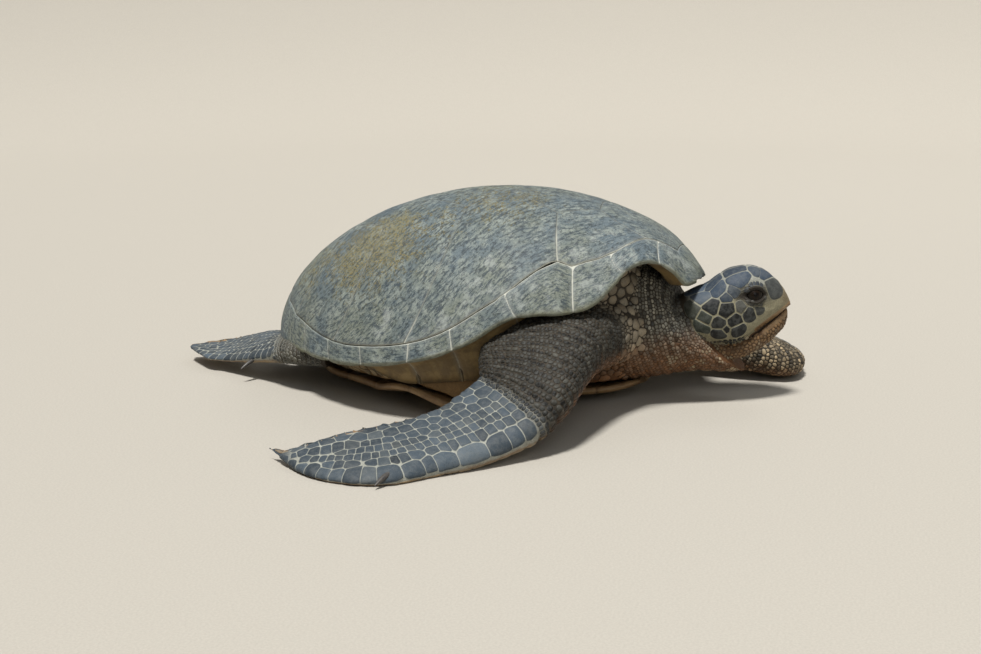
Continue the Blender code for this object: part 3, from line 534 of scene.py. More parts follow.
    def plastron_point(self, s: Array, t: Array, lift: float) -> Array:
        """Points of the belly plate.

        Args:
            s: Stations.
            t: Place across it, -1 to 1.
            lift: Height over its lower face in metres.
        Returns:
            World points.
        """
        x = curve(s, PLASTRON) * t
        side = np.clip((np.abs(x) - self.z.flat_half) / (0.316 - self.z.flat_half), 0, 1.2)
        front = np.clip((0.27 - s) / 0.12, 0, 1)**2 * 0.020
        back = np.clip((s - 0.80) / 0.11, 0, 1)**2 * 0.016
        rise = np.where(x < 0, -0.022 + 0.050 * smooth(s, 0.46, 0.68), 0.022)
        low = rise * side**1.25 + front + back
        return self.to_world(np.stack([x, s - 0.5, low + lift / self.z.length], -1) * self.z.length)


SHELL = ShellForm(ShellSizes())


# ------------------------------------------------------------------ shell pieces
def dress(name: str, solid: Solid, material: Material, slot: str, *nodes: str,
          uv: Array | None = None) -> bpy.types.Object:
    """Adds a finished piece to the model.

    Args:
        name: Piece name.
        solid: Its mesh.
        material: Its finish.
        slot: The model's slot for that finish; not used.
        nodes: Solids that it replaces.
        uv: Optional place of each vertex on the unwrap.
    Returns:
        The piece.
    """
    obj = make_mesh(name, solid, uv)
    obj.data.materials.append(material)
    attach(obj, "root")
    if nodes:
        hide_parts(*nodes)
    return obj


@dataclass
class Scutes:
    """The plates of the dome: a nuchal, the row along the back and the rows beside it."""

    form: ShellForm
    span: float = 0.45
    grid: float = 0.0095
    lean: float = math.radians(38)
    inner_rows: tuple = (0.0022, 0.0052)
    row_gaps: tuple = (0.0019, 0.0046, 0.0085)

    def pale(self, s: Array, v: Array) -> Array:
        """How light the seam is at a place: clear at the front and low down, faint behind."""
        low = smooth(np.abs(v), 0.30, 0.52)
        edge = smooth(np.abs(v), 0.62, 0.86)
        front = 1 - smooth(s, 0.26 + 0.28 * edge, 0.52 + 0.36 * edge)
        return np.clip(0.14 + 0.86 * front * low + 0.14 * low, 0, 1)

    def spots(self, flat: Array) -> Array:
        """Points of a plate in the plane of the outline.

        Args:
            flat: The outline.
        Returns:
            The outline's points, two rows just inside them, and a staggered grid.
        """
        ahead = unit(np.roll(flat, -1, 0) - np.roll(flat, 1, 0))
        inward = np.stack([-ahead[:, 1], ahead[:, 0]], -1)
        rows = [flat + inward * d for d in self.inner_rows]
        lo, hi = flat.min(0), flat.max(0)
        gs, gv = (np.arange(lo[c], hi[c], self.grid) for c in (0, 1))
        grid = np.array([(s, v + (self.grid / 2 if i % 2 else 0))
                         for i, s in enumerate(gs) for v in gv]).reshape(-1, 2)
        cand = np.concatenate(rows + [grid])
        gap = np.min(np.linalg.norm(cand[:, None] - flat[None], axis=2), axis=1)
        room = np.repeat(self.row_gaps, (len(flat), len(flat), len(grid)))
        return np.concatenate([flat, cand[gap > room]])

    def build(self, name: str, ring: Array) -> Solid:
        """One plate with its sunken border.

        Args:
            name: Plate name, which seeds its own growth marks.
            ring: Outline in (s, v).
        Returns:
            A closed plate whose paint holds the distance to the seam.
        """
        form, span = self.form, self.span
        nxt = np.roll(ring, -1, axis=0)
        if (ring[:, 0] * nxt[:, 1] - nxt[:, 0] * ring[:, 1]).sum() < 0:
            ring = ring[::-1]
        flat = ring * (1, span)
        verts, _, tris, _, _, owner = delaunay_2d_cdt([tuple(p) for p in self.spots(flat)], [],
                                                      [list(range(len(flat)))], 1, 1e-7)
        keep = np.array([t for t, o in zip(tris, owner) if 0 in o and len(t) == 3])
        sv = np.array([(p[0], p[1] / span) for p in verts])
        top, out = form.dome(sv[:, 0], sv[:, 1]), form.out(sv[:, 0], sv[:, 1])
        n = np.cross(top[keep[:, 1]] - top[keep[:, 0]], top[keep[:, 2]] - top[keep[:, 0]])
        flip = (n * out[keep[:, 0]]).sum(1) < 0
        keep[flip] = keep[flip][:, ::-1]
        used, keep = np.unique(keep, return_inverse=True)
        keep = keep.reshape(-1, 3)
        top, out, sv = top[used], out[used], sv[used]
        dense = np.concatenate([ring + (np.roll(ring, -1, 0) - ring) * k for k in np.arange(0, 1, 0.2)])
        away, near = dist_to(top, form.dome(dense[:, 0], dense[:, 1]))
        away[np.isin(used, np.arange(len(flat)))] = 0.0
        dip = 0.0011 * np.exp(-(away / 0.0028)**2) + 0.0006 * np.exp(-(away / 0.012)**2)
        sway = 0.0008 * NOISE.at(top, 0.045) + 0.0004 * NOISE.at(top, 0.016)
        face = top - out * (dip - sway * smooth(away, 0.0, 0.02))[:, None]
        edges = np.concatenate([keep[:, [0, 1]], keep[:, [1, 2]], keep[:, [2, 0]]])
        m = len(top)
        key = edges @ (m + 1, 1)
        rim = edges[~np.isin(key, edges @ (1, m + 1))]
        both = np.concatenate([face, top - out * form.z.plate])
        walls = np.concatenate([np.stack([rim[:, 1], rim[:, 0], rim[:, 0] + m], -1),
                                np.stack([rim[:, 1], rim[:, 0] + m, rim[:, 1] + m], -1)])
        paint = {"seam": away, "pale": self.pale(dense[near, 0], dense[near, 1]),
                 "rimward": smooth(np.abs(sv[:, 1]), 0.70, 1.0), "sheet_at": self.sheet(name, sv),
                 "algae": self.algae(sv[:, 0], sv[:, 1])}
        return Solid(both, np.concatenate([keep, keep[:, ::-1] + m, walls]),
                     {k: np.concatenate([v, v]) for k, v in paint.items()})

    def sheet(self, name: str, sv: Array) -> Array:
        """Places on a leaning flat sheet, one sheet per plate, along which the horn is streaked."""
        along, over = sv[:, 0] * 0.9, np.abs(sv[:, 1]) * 0.42
        c, s = math.cos(self.lean), math.sin(self.lean)
        layer = np.full(len(sv), sum(map(ord, name)) % 97 * 0.31)
        return np.stack([along * c + over * s, over * c - along * s, layer], -1)

    @staticmethod
    def algae(s: Array, v: Array) -> Array:
        """Where green-yellow growth has settled on the dome."""
        near = hump(s, 0.68, 0.17) * hump(v, -0.36, 0.25) + 0.8 * hump(s, 0.38, 0.13) * hump(v, -0.20, 0.20)
        far = 0.8 * hump(s, 0.55, 0.22) * hump(v, 0.34, 0.25)
        return np.clip(near + far + 0.20 * hump(s, 0.9, 0.12), 0, 1)


@dataclass
class MarginalRing:
    """The plates along one edge of the carapace, from nuchal to tail."""

    form: ShellForm
    side: int
    stations: int = 520
    outer_rows: int = 15
    under_rows: tuple = ((0.0012, 0.0), (0.12, 0.03), (0.30, 0.12), (0.48, 0.27), (0.65, 0.45),
                         (0.83, 0.71), (1.0, 1.0))

    def build(self) -> Solid:
        """The ring's outer face, rim and underside, painted with the distance to its seams."""
        form, side = self.form, self.side
        seam0, rim0 = form.ring_rows()
        q = np.linspace(0, len(seam0) - 1, self.stations)
        k = np.arange(len(seam0))
        seam = np.stack([np.interp(q, k, seam0[:, c]) for c in (0, 1)], -1)
        rim = np.stack([np.interp(q, k, rim0[:, c]) for c in (0, 1)], -1)
        wide, drop = form.ring_under(rim[:, 0])
        edge = np.array([0.0, 0.0007])
        rows, across = [], []
        for t in np.linspace(0, 1, self.outer_rows)**0.9:
            p = (seam + edge) * (1 - t) + rim * t
            p[:, 1] = np.maximum(p[:, 1], 0.005)
            rows.append(form.dome(p[:, 0], side * p[:, 1]))
            across.append(t)
        lip = form.z.lip / form.z.length
        s, v = rim[:, 0], np.maximum(rim[:, 1], 0.005)
        for inset, deep in self.under_rows:
            rows.append(form.under_point(s, v, side, 0.0012 if inset < 0.01 else wide * inset,
                                         lip + drop * deep))
            across.append(1.0 + inset)
        p = seam + edge
        p[:, 1] = np.maximum(p[:, 1], 0.005)
        rows.append(form.inner(p[:, 0], side * p[:, 1], form.z.plate + 0.001))
        across.append(2.3)
        loops = np.swapaxes(np.array(rows), 0, 1)
        arc = run_length(loops[:, self.outer_rows - 1])
        low, high = (np.interp([m[k] for m in MARGINAL_SEAMS], row[:, 0], arc)
                     for k, row in ((0, rim + np.arange(len(rim))[:, None] * 1e-9), (1, seam)))
        seam_gap = np.linalg.norm(loops - loops[:, :1], axis=2)
        t = np.array(across)[None].repeat(len(loops), 0)
        marks = high + (low - high) * np.minimum(t, 1.0)[..., None]
        along = np.abs(arc[:, None, None] - marks).min(2)
        seam_gap[t > 1.0] = 0.05
        away = np.minimum(along, seam_gap)
        solid = tube(loops)
        flat = np.concatenate([away.ravel(), [0.01, 0.01]])
        out = turned_out(solid, solid.verts[:-2].mean(0))
        sway = 0.0007 * NOISE.at(solid.verts, 0.05)
        tt = np.concatenate([t.ravel(), [1, 1]])
        bulge = 0.0016 * smooth(flat, 0.0, 0.03) * hump(tt, 0.9, 0.35)
        dip = 0.0011 * np.exp(-(flat / 0.0028)**2) + 0.0005 * np.exp(-(flat / 0.010)**2)
        solid.verts = solid.verts + out * (sway * smooth(flat, 0, 0.02) + bulge - dip
                                           - 0.0010)[:, None] * (tt < 2.2)[:, None]
        s_all = np.concatenate([np.repeat(rim[:, 0], loops.shape[1]), [0, 1]])
        pale = np.clip(0.26 + 0.74 * (1 - smooth(s_all, 0.50, 0.84)), 0, 1)
        pale = np.where(tt > 1.05, 0.35, pale)
        sheet = np.stack([np.concatenate([np.repeat(arc, loops.shape[1]), [0, 0]]),
                          np.concatenate([np.minimum(seam_gap, 0.2).ravel(), [0, 0]]),
                          s_all * 0 + side], -1)
        solid.paint = {"seam": flat, "pale": pale, "rimward": np.clip(tt, 0, 2), "sheet_at": sheet,
                       "algae": 0.25 * smooth(s_all, 0.35, 0.5) * (1 - tt * 0.3)}
        return solid


@dataclass
class Plastron:
    """The belly plate with its bridges."""

    form: ShellForm
    seams: tuple = (0.235, 0.315, 0.455, 0.590, 0.700, 0.800)

    def build(self) -> Solid:
        """Closed slab whose paint holds the distance to the seams."""
        form = self.form
        s = np.concatenate([[0.150, 0.153], np.linspace(0.158, 0.905, 200), [0.908, 0.91]])
        a = np.linspace(-1, 1, 91)
        loops, away = [], []
        for v in s:
            sv = np.full(len(a), v)
            low = form.plastron_point(sv, a, 0.0)
            low[:, 2] = np.maximum(low[:, 2], 0.0)
            high = form.plastron_point(sv, a[::-1] * 0.985, form.z.plastron_thick)
            w = float(curve(v, PLASTRON)[0])
            loops.append(np.concatenate([low, high]))
            x = np.concatenate([a, a[::-1]]) * w
            bow = 0.02 * np.abs(x) / 0.3
            cross = np.min([np.abs(v - q - bow) for q in self.seams], axis=0)
            bridge = np.abs(np.abs(x) - 0.205 - 0.02 * math.cos((v - 0.45) * 9))
            bridge = np.where((v > 0.29) & (v < 0.64), bridge, 1)
            away.append(np.minimum(np.minimum(np.abs(x + 0.004 * np.sin(v * 60)), cross), bridge) * 0.9)
        solid = tube(np.array(loops))
        away = np.concatenate([np.array(away).ravel(), [0.01, 0.01]])
        out = normals_of(solid)
        if (solid.verts[:-2] - solid.verts.mean(0))[:, 2] @ out[:-2, 2] < 0:
            solid.faces, out = solid.faces[:, ::-1], -out
        dip = 0.0010 * np.exp(-(away / 0.003)**2) + 0.0004
        solid.verts = solid.verts - out * (dip * (solid.verts[:, 2] > 0.0005))[:, None]
        solid.verts[:, 2] = np.maximum(solid.verts[:, 2], 0.0)
        solid.paint = {"seam": away}
        return solid


# ------------------------------------------------------------------ flesh
HEAD_TOP = [(-0.020, 0.049), (0.0, 0.056), (0.022, 0.061), (0.045, 0.065), (0.070, 0.0775), (0.098, 0.0865),
            (0.1365, 0.083), (0.154, 0.074), (0.171, 0.058), (0.186, 0.036), (0.1945, 0.014),
            (0.197, 0.000)]
HEAD_LOW = [(-0.020, -0.020), (0.006, -0.036), (0.036, -0.050), (0.070, -0.0585), (0.090, -0.054),
            (0.107, -0.0466), (0.134, -0.0344), (0.160, -0.024), (0.190, -0.0125), (0.197, -0.010)]
HEAD_HALF = [(-0.020, 0.034), (0.0, 0.052), (0.03, 0.064), (0.065, 0.0685), (0.10, 0.062),
             (0.134, 0.050), (0.160, 0.038), (0.182, 0.024), (0.193, 0.013), (0.197, 0.007)]
JAW_TOP = [(0.045, -0.056), (0.070, -0.0595), (0.090, -0.055), (0.107, -0.0476), (0.134, -0.0354),
           (0.160, -0.025), (0.1885, -0.0135)]
JAW_LOW = [(0.045, -0.078), (0.070, -0.088), (0.100, -0.087), (0.130, -0.077), (0.162, -0.060),
           (0.180, -0.044), (0.1885, -0.028)]
JAW_HALF = [(0.045, 0.046), (0.070, 0.050), (0.10, 0.048), (0.134, 0.039), (0.160, 0.028),
            (0.180, 0.016), (0.1885, 0.008)]
NEAR_ARM = [
    (0.00, (-0.100, -0.330, 0.150), (-0.110, -0.070, 0.150), 0.150, 0.80),
    (0.12, (-0.215, -0.285, 0.150), (-0.215, -0.045, 0.145), 0.150, 0.70),
    (0.24, (-0.330, -0.262, 0.122), (-0.305, -0.050, 0.138), 0.118, 0.60),
    (0.34, (-0.415, -0.243, 0.080), (-0.360, -0.062, 0.125), 0.095, 0.45),
    (0.42, (-0.468, -0.208, 0.042), (-0.385, -0.068, 0.113), 0.075, 0.30),
    (0.52, (-0.540, -0.140, 0.015), (-0.412, -0.050, 0.101), 0.058, 0.20),
    (0.64, (-0.615, -0.060, 0.007), (-0.458, -0.015, 0.077), 0.044, 0.14),
    (0.76, (-0.682, 0.012, 0.004), (-0.515, 0.055, 0.061), 0.036, 0.11),
    (0.85, (-0.692, 0.082, 0.003), (-0.549, 0.125, 0.049), 0.028, 0.11),
    (0.93, (-0.664, 0.160, 0.004), (-0.588, 0.186, 0.034), 0.020, 0.14),
    (0.98, (-0.622, 0.214, 0.009), (-0.592, 0.226, 0.024), 0.011, 0.2),
    (1.00, (-0.590, 0.254, 0.019), (-0.584, 0.256, 0.021), 0.005, 0.5),
]
FAR_ARM = [
    (0.00, (0.120, -0.360, 0.120), (0.130, -0.090, 0.125), 0.135, 0.80),
    (0.12, (0.150, -0.425, 0.094), (0.225, -0.195, 0.112), 0.122, 0.70),
    (0.24, (0.140, -0.510, 0.056), (0.262, -0.325, 0.086), 0.100, 0.60),
    (0.34, (0.158, -0.590, 0.030), (0.295, -0.405, 0.076), 0.084, 0.45),
    (0.42, (0.235, -0.602, 0.018), (0.335, -0.435, 0.072), 0.066, 0.30),
    (0.52, (0.345, -0.560, 0.012), (0.385, -0.412, 0.066), 0.054, 0.20),
    (0.64, (0.440, -0.485, 0.007), (0.425, -0.345, 0.057), 0.042, 0.14),
    (0.76, (0.515, -0.395, 0.004), (0.462, -0.270, 0.048), 0.034, 0.11),
    (0.85, (0.558, -0.310, 0.003), (0.490, -0.215, 0.040), 0.027, 0.11),
    (0.93, (0.583, -0.230, 0.003), (0.530, -0.178, 0.030), 0.020, 0.14),
    (0.98, (0.588, -0.178, 0.012), (0.564, -0.158, 0.024), 0.012, 0.2),
    (1.00, (0.586, -0.150, 0.020), (0.579, -0.146, 0.022), 0.006, 0.5),
]
NEAR_LEG = [
    (0.00, (-0.180, 0.300, 0.082), (-0.030, 0.330, 0.080), 0.072, 0.80),
    (0.20, (-0.165, 0.380, 0.072), (-0.010, 0.405, 0.080), 0.060, 0.60),
    (0.42, (-0.113, 0.459, 0.050), (0.040, 0.498, 0.074), 0.042, 0.35),
    (0.60, (-0.084, 0.519, 0.036), (0.074, 0.558, 0.057), 0.029, 0.20),
    (0.78, (-0.054, 0.579, 0.026), (0.088, 0.616, 0.040), 0.021, 0.15),
    (0.92, (-0.035, 0.631, 0.026), (0.076, 0.657, 0.034), 0.014, 0.18),
    (1.00, (0.022, 0.689, 0.030), (0.046, 0.696, 0.031), 0.007, 0.5),
]
FAR_LEG = [
    (0.00, (0.205, 0.300, 0.055), (0.060, 0.330, 0.065), 0.070, 0.80),
    (0.20, (0.210, 0.395, 0.048), (0.085, 0.405, 0.055), 0.062, 0.65),
    (0.42, (0.212, 0.475, 0.032), (0.100, 0.475, 0.045), 0.046, 0.40),
    (0.60, (0.216, 0.545, 0.011), (0.105, 0.545, 0.035), 0.031, 0.20),
    (0.78, (0.212, 0.600, 0.005), (0.110, 0.605, 0.026), 0.021, 0.15),
    (0.92, (0.196, 0.640, 0.004), (0.128, 0.645, 0.020), 0.013, 0.18),
    (1.00, (0.172, 0.664, 0.014), (0.148, 0.666, 0.018), 0.007, 0.5),
]
NECK = [
    (0.0, (0.020, -0.215, 0.146, 0.165, 0.124, 0.00)),
    (0.25, (0.018, -0.275, 0.152, 0.152, 0.121, 0.10)),
    (0.50, (0.014, -0.330, 0.155, 0.127, 0.114, 0.20)),
    (0.72, (0.010, -0.378, 0.148, 0.098, 0.099, 0.34)),
    (0.88, (0.010, -0.425, 0.119, 0.072, 0.076, 0.60)),
    (1.0, (0.014, -0.470, 0.090, 0.052, 0.050, 0.85)),
]
TAIL = [(0.0, (0.045, 0.350, 0.086, 0.046, 0.034)), (0.45, (0.062, 0.418, 0.074, 0.027, 0.020)),
        (0.8, (0.072, 0.462, 0.065, 0.013, 0.011)), (1.0, (0.077, 0.486, 0.059, 0.004, 0.004))]


class HeadFrame:
    """The skull's own axes: along the head, to its right, and up."""

    BASE = np.array([0.0, -0.395, 0.155])
    YAW, PITCH = math.radians(12.0), math.radians(12.0)
    EYE_ALONG, EYE_UP, EYE_OUT, EYE_R = 0.1265, 0.0325, 0.0350, 0.0195
    # Heights between which the cheek passes into the crown.
    CROWN = (0.030, 0.052)

    def __init__(self) -> None:
        """Works out the axes from the turn and the lift of the head."""
        y, p = self.YAW, self.PITCH
        self.ahead = np.array([math.sin(y) * math.cos(p), -math.cos(y) * math.cos(p), math.sin(p)])
        self.right = np.array([-math.cos(y), -math.sin(y), 0.0])
        self.up = np.cross(self.right, self.ahead)

    def point(self, along: Array, side: Array, up: Array) -> Array:
        """Points in the shell's frame from places along the skull's axes."""
        a, b, c = (np.asarray(v, float)[..., None] for v in (along, side, up))
        return self.BASE + a * self.ahead + b * self.right + c * self.up

    def local(self, p: Array) -> Array:
        """(along, side, up) of points in the shell's frame."""
        d = p - self.BASE
        return np.stack([d @ self.ahead, d @ self.right, d @ self.up], -1)


HEAD = HeadFrame()


class Part(IntEnum):
    """Which part of the animal a patch of skin belongs to."""

    TRUNK = 0
    NECK = 1
    HEAD = 2
    JAW = 3
    ARM_RIGHT = 4
    ARM_LEFT = 5
    LEG_RIGHT = 6
    LEG_LEFT = 7
    TAIL = 8


ARMS, LEGS = (Part.ARM_RIGHT, Part.ARM_LEFT), (Part.LEG_RIGHT, Part.LEG_LEFT)


@dataclass
class Flesh:
    """One lofted volume of flesh: its loops and the (t, a) of each point."""

    part: Part
    loops: Array
    t: Array
    a: Array


def box_round(low: float, high: float, half: float, power: float, n: int, flat_low: bool) -> tuple:
    """Rounded section, widest a little below the middle.

    Args:
        low: Its lowest height.
        high: Its highest.
        half: Half its width.
        power: 2 for an ellipse, more for a squarer one.
        n: How many points.
        flat_low: Whether the lower side is flatter.
    Returns:
        (side, up) of the points.
    """
    t = turn(n) + math.pi / 2
    c, s = np.cos(t), np.sin(t)
    x = np.sign(c) * np.abs(c)**(2 / power) * half
    mid = low + (high - low) * 0.42
    y = np.where(s > 0, mid + (high - mid) * np.abs(s)**(2 / power),
                 mid - (mid - low) * np.abs(s)**(2 / (power + (2.0 if flat_low else 0.0))))
    return x, y


@dataclass
class Body:
    """All the flesh as overlapping lofts, before it becomes one skin."""

    form: ShellForm
    floor_press: float = 0.0065
    lobe: float = 0.026
    slab_over: float = 0.008

    def press(self, p: Array) -> Array:
        """Flattens what is nearly on the floor onto it."""
        z, deep = p[..., 2], self.floor_press
        p = p.copy()
        p[..., 2] = np.where(z < deep, np.maximum(z, 0)**2 / deep, z)
        return p

    @staticmethod
    def grown(part: Part, loops: Array, t: Array) -> Flesh:
        """A volume from its loops and the t of each."""
        n, m = loops.shape[:2]
        a = np.linspace(0, 1, m, endpoint=False)[None].repeat(n, 0)
        return Flesh(part, loops, np.asarray(t)[:, None].repeat(m, 1), a)

    def limb(self, part: Part, rows: list, count: int, around: int, scallop: float) -> Flesh:
        """A flipper with its arm: round in front, thin behind, the hind edge scalloped.

        Args:
            part: Which limb.
            rows: Stations of (t, leading edge, hind edge, thickness, thickness behind).
            count: Loops along it.
            around: Points round it.
            scallop: Depth of the hind edge's lobes.
        Returns:
            The limb's flesh.
        """
        """A flipper with its arm: round in front, thin behind, the hind edge scalloped."""
        knots = [(r[0], tuple(r[1]) + tuple(r[2]) + (r[3], r[4])) for r in rows]
        t = np.linspace(0, 1, count)
        p = curve(t, knots)
        e = curve(np.clip(t + 0.02, 0, 1), knots) - curve(np.clip(t - 0.02, 0, 1), knots)
        mid = 0.5 * (p[:, :3] + p[:, 3:6])
        arc = run_length(mid)
        ang = turn(around)
        x = (1 - np.cos(ang)) / 2
        swell = np.abs(np.sin(ang))**0.75
        loops = []
        for i, (row, d) in enumerate(zip(p, e)):
            ahead = unit(d[:3] + d[3:6])
            chord = row[3:6] - row[:3]
            span = np.linalg.norm(chord)
            across = chord / span
            normal = unit(np.cross(ahead, across))
            blade = smooth(t[i], 0.44, 0.52) * (1 - smooth(t[i], 0.93, 1.0))
            lobe = scallop * blade * np.abs(math.sin(math.pi * arc[i] / self.lobe))**0.7
            reach = x * span + (lobe - scallop * blade) * smooth(x, 0.80, 1.0)
            taper = row[7] + (1 - row[7]) * (1 - x)**0.85
            y = np.sign(np.sin(ang)) * swell * taper * row[6] * 0.5
            loops.append(row[:3] + np.outer(reach, across) + np.outer(y, normal))
        return self.grown(part, self.press(np.array(loops)), t)

    def head(self) -> Flesh:
        """The skull's flesh, finer towards the snout."""
        along = np.concatenate([np.linspace(-0.020, 0.185, 120), np.linspace(0.186, 0.1969, 24)])
        loops = []
        for a in along:
            side, up = box_round(float(curve(a, HEAD_LOW)[0]), float(curve(a, HEAD_TOP)[0]),
                                 float(curve(a, HEAD_HALF)[0]), 2.35, 120, a > 0.07)
            loops.append(HEAD.point(np.full(len(side), a), side, up))
        return self.grown(Part.HEAD, np.array(loops), along)

    def jaw(self) -> Flesh:
        """The lower jaw, just clear of the head above it."""
        along = np.linspace(0.030, 0.1885, 90)
        loops = []
        for a in along:
            low, high = float(curve(a, JAW_LOW)[0]), float(curve(a, JAW_TOP)[0])
            half = float(curve(a, JAW_HALF)[0])
            high = min(high, float(curve(a, HEAD_LOW)[0]) - 0.0009) + 0.004
            ang = turn(72) + math.pi / 2
            c, s = np.cos(ang), np.sin(ang)
            mid = low + (high - low) * 0.62
            side = np.sign(c) * np.abs(c)**0.72 * half
            up = np.where(s > 0, mid + (high - mid) * np.abs(s)**0.5, mid - (mid - low) * np.abs(s)**0.9)
            loops.append(HEAD.point(np.full(len(side), a), side, up))
        return self.grown(Part.JAW, np.array(loops), along)

    def neck(self) -> Flesh:
        """The neck, its sections leaning more and more towards the head."""
        t = np.linspace(0, 1, 90)
        p = curve(t, NECK)
        ang = turn(120)
        loops = []
        for x, y, z, hw, hh, lean in p:
            up = np.array([0, math.sin(lean), math.cos(lean)])
            loops.append(np.array([x, y, z]) + np.outer(np.cos(ang) * hw, [1, 0, 0])
                         + np.outer(np.sign(np.sin(ang)) * np.abs(np.sin(ang))**0.9 * hh, up))
        return self.grown(Part.NECK, np.array(loops), t)

    def tail(self) -> Flesh:
        """The short tail."""
        t = np.linspace(0, 1, 50)
        ang = turn(48)
        loops = [np.array([x, y, z]) + np.stack([np.cos(ang) * a, 0 * ang, np.sin(ang) * b], -1)
                 for x, y, z, a, b in curve(t, TAIL)]
        return self.grown(Part.TAIL, np.array(loops), t)

    def trunk(self) -> Flesh:
        """The body inside the shell, clear of the plates."""
        form = self.form
        seam, _ = form.ring_rows()
        t = np.linspace(0.115, 0.92, 44)
        depth = form.z.plate + 0.0045
        over = form.z.plastron_thick + self.slab_over
        loops = []
        for v in t:
            one = np.array([v])
            edge = float(np.interp(v, seam[:, 0], seam[:, 1])) - 0.02
            wide, drop = (float(a[0]) for a in form.ring_under(one))
            low_w = float(curve(v, PLASTRON)[0])
            ring_w = float(form.half_width(v)) - wide
            hang = form.z.lip / form.z.length + drop
            low = min(low_w * 0.97, ring_w - 0.008)
            halves = []
            for side in (-1, 1):
                pts = [form.inner(one, np.array([side * edge * k]), depth)[0]
                       for k in np.linspace(0.1, 1, 10)]
                pts.append(form.under_point(one, np.array([1.0]), side, wide + 0.006, hang - 0.004)[0])
                foot = form.plastron_point(one, np.array([side * low / low_w]), over)[0]
                pts.append(0.5 * (pts[-1] + foot) + np.array([side * 0.012, 0, 0]) * (low_w < 0.2))
                pts.append(foot)
                pts += [form.plastron_point(one, np.array([k * side * low / low_w]), over)[0]
                        for k in (0.7, 0.35)]
                halves.append(pts)
            top = form.inner(one, np.array([0.0]), depth)[0]
            bottom = form.plastron_point(one, np.array([0.0]), over)[0]
            loops.append([top] + halves[0] + [bottom] + halves[1][::-1])
        return self.grown(Part.TRUNK, np.array(loops), t)

    def parts(self) -> list[Flesh]:
        """Every volume of flesh."""
        return [self.trunk(), self.neck(), self.head(), self.jaw(),
                self.limb(Part.ARM_RIGHT, NEAR_ARM, 240, 96, 0.0042),
                self.limb(Part.ARM_LEFT, FAR_ARM, 240, 96, 0.0042),
                self.limb(Part.LEG_RIGHT, NEAR_LEG, 120, 64, 0.002),
                self.limb(Part.LEG_LEFT, FAR_LEG, 120, 64, 0.002), self.tail()]


# ------------------------------------------------------------------ skin
@dataclass
class Hide:
    """The finished skin and where each vertex lies on the animal."""

    solid: Solid
    normal: Array
    part: Array
    t: Array
    plate_tone: Array
    bvh: BVHTree


def lerp(a: Array, b: Array, k: Array) -> Array:
    """Mix of two colours or rows of them."""
    k = np.asarray(k, float)[..., None]
    return np.asarray(a) * (1 - k) + np.asarray(b) * k


class Eyes:
    """Openings, lids and balls of the two eyes, in polar form about each ball's centre."""

    WIDE, HIGH = 0.0165, 0.0102

    def __init__(self, side: int) -> None:
        """Sets out the ball and its axes; side is 1 for right, -1 for left."""
        self.side = side
        self.centre = HEAD.point(HEAD.EYE_ALONG, side * HEAD.EYE_OUT, HEAD.EYE_UP)
        self.look = unit(HEAD.right * side * 0.955 + HEAD.ahead * 0.24 + HEAD.up * 0.16)
        lie = HEAD.ahead - 0.10 * HEAD.up
        self.across = unit(lie - self.look * (lie @ self.look))
        tall = np.cross(self.look, self.across)
        self.tall = tall * np.sign(tall @ HEAD.up)

    def polar(self, p: Array) -> tuple[Array, Array, Array]:
        """Angle from the look axis, heading round it and distance from the ball's centre."""
        d = p - self.centre
        rho = np.linalg.norm(d, axis=-1)
        cosine = np.clip((d @ self.look) / np.maximum(rho, 1e-9), -1, 1)
        return np.arccos(cosine), np.arctan2(d @ self.tall, d @ self.across), rho

    def open_at(self, phi: Array) -> Array:
        """Angle of the lid margin at each heading."""
        c, s = np.cos(phi), np.sin(phi)
        x = np.abs(c) / self.WIDE
        y = np.abs(s) / (self.HIGH * np.where(s > 0, 0.92, 1.05))
        reach = 1 / (x**1.75 + y**1.75)**(1 / 1.75)
        return np.arcsin(np.clip(reach / HEAD.EYE_R, 0, 0.97))

    def place(self, theta: Array, phi: Array, rho: Array) -> Array:
        """Back from polar form."""
        return (self.centre + (rho * np.sin(theta) * np.cos(phi))[:, None] * self.across
                + (rho * np.sin(theta) * np.sin(phi))[:, None] * self.tall
                + (rho * np.cos(theta))[:, None] * self.look)


EYES = (Eyes(1), Eyes(-1))


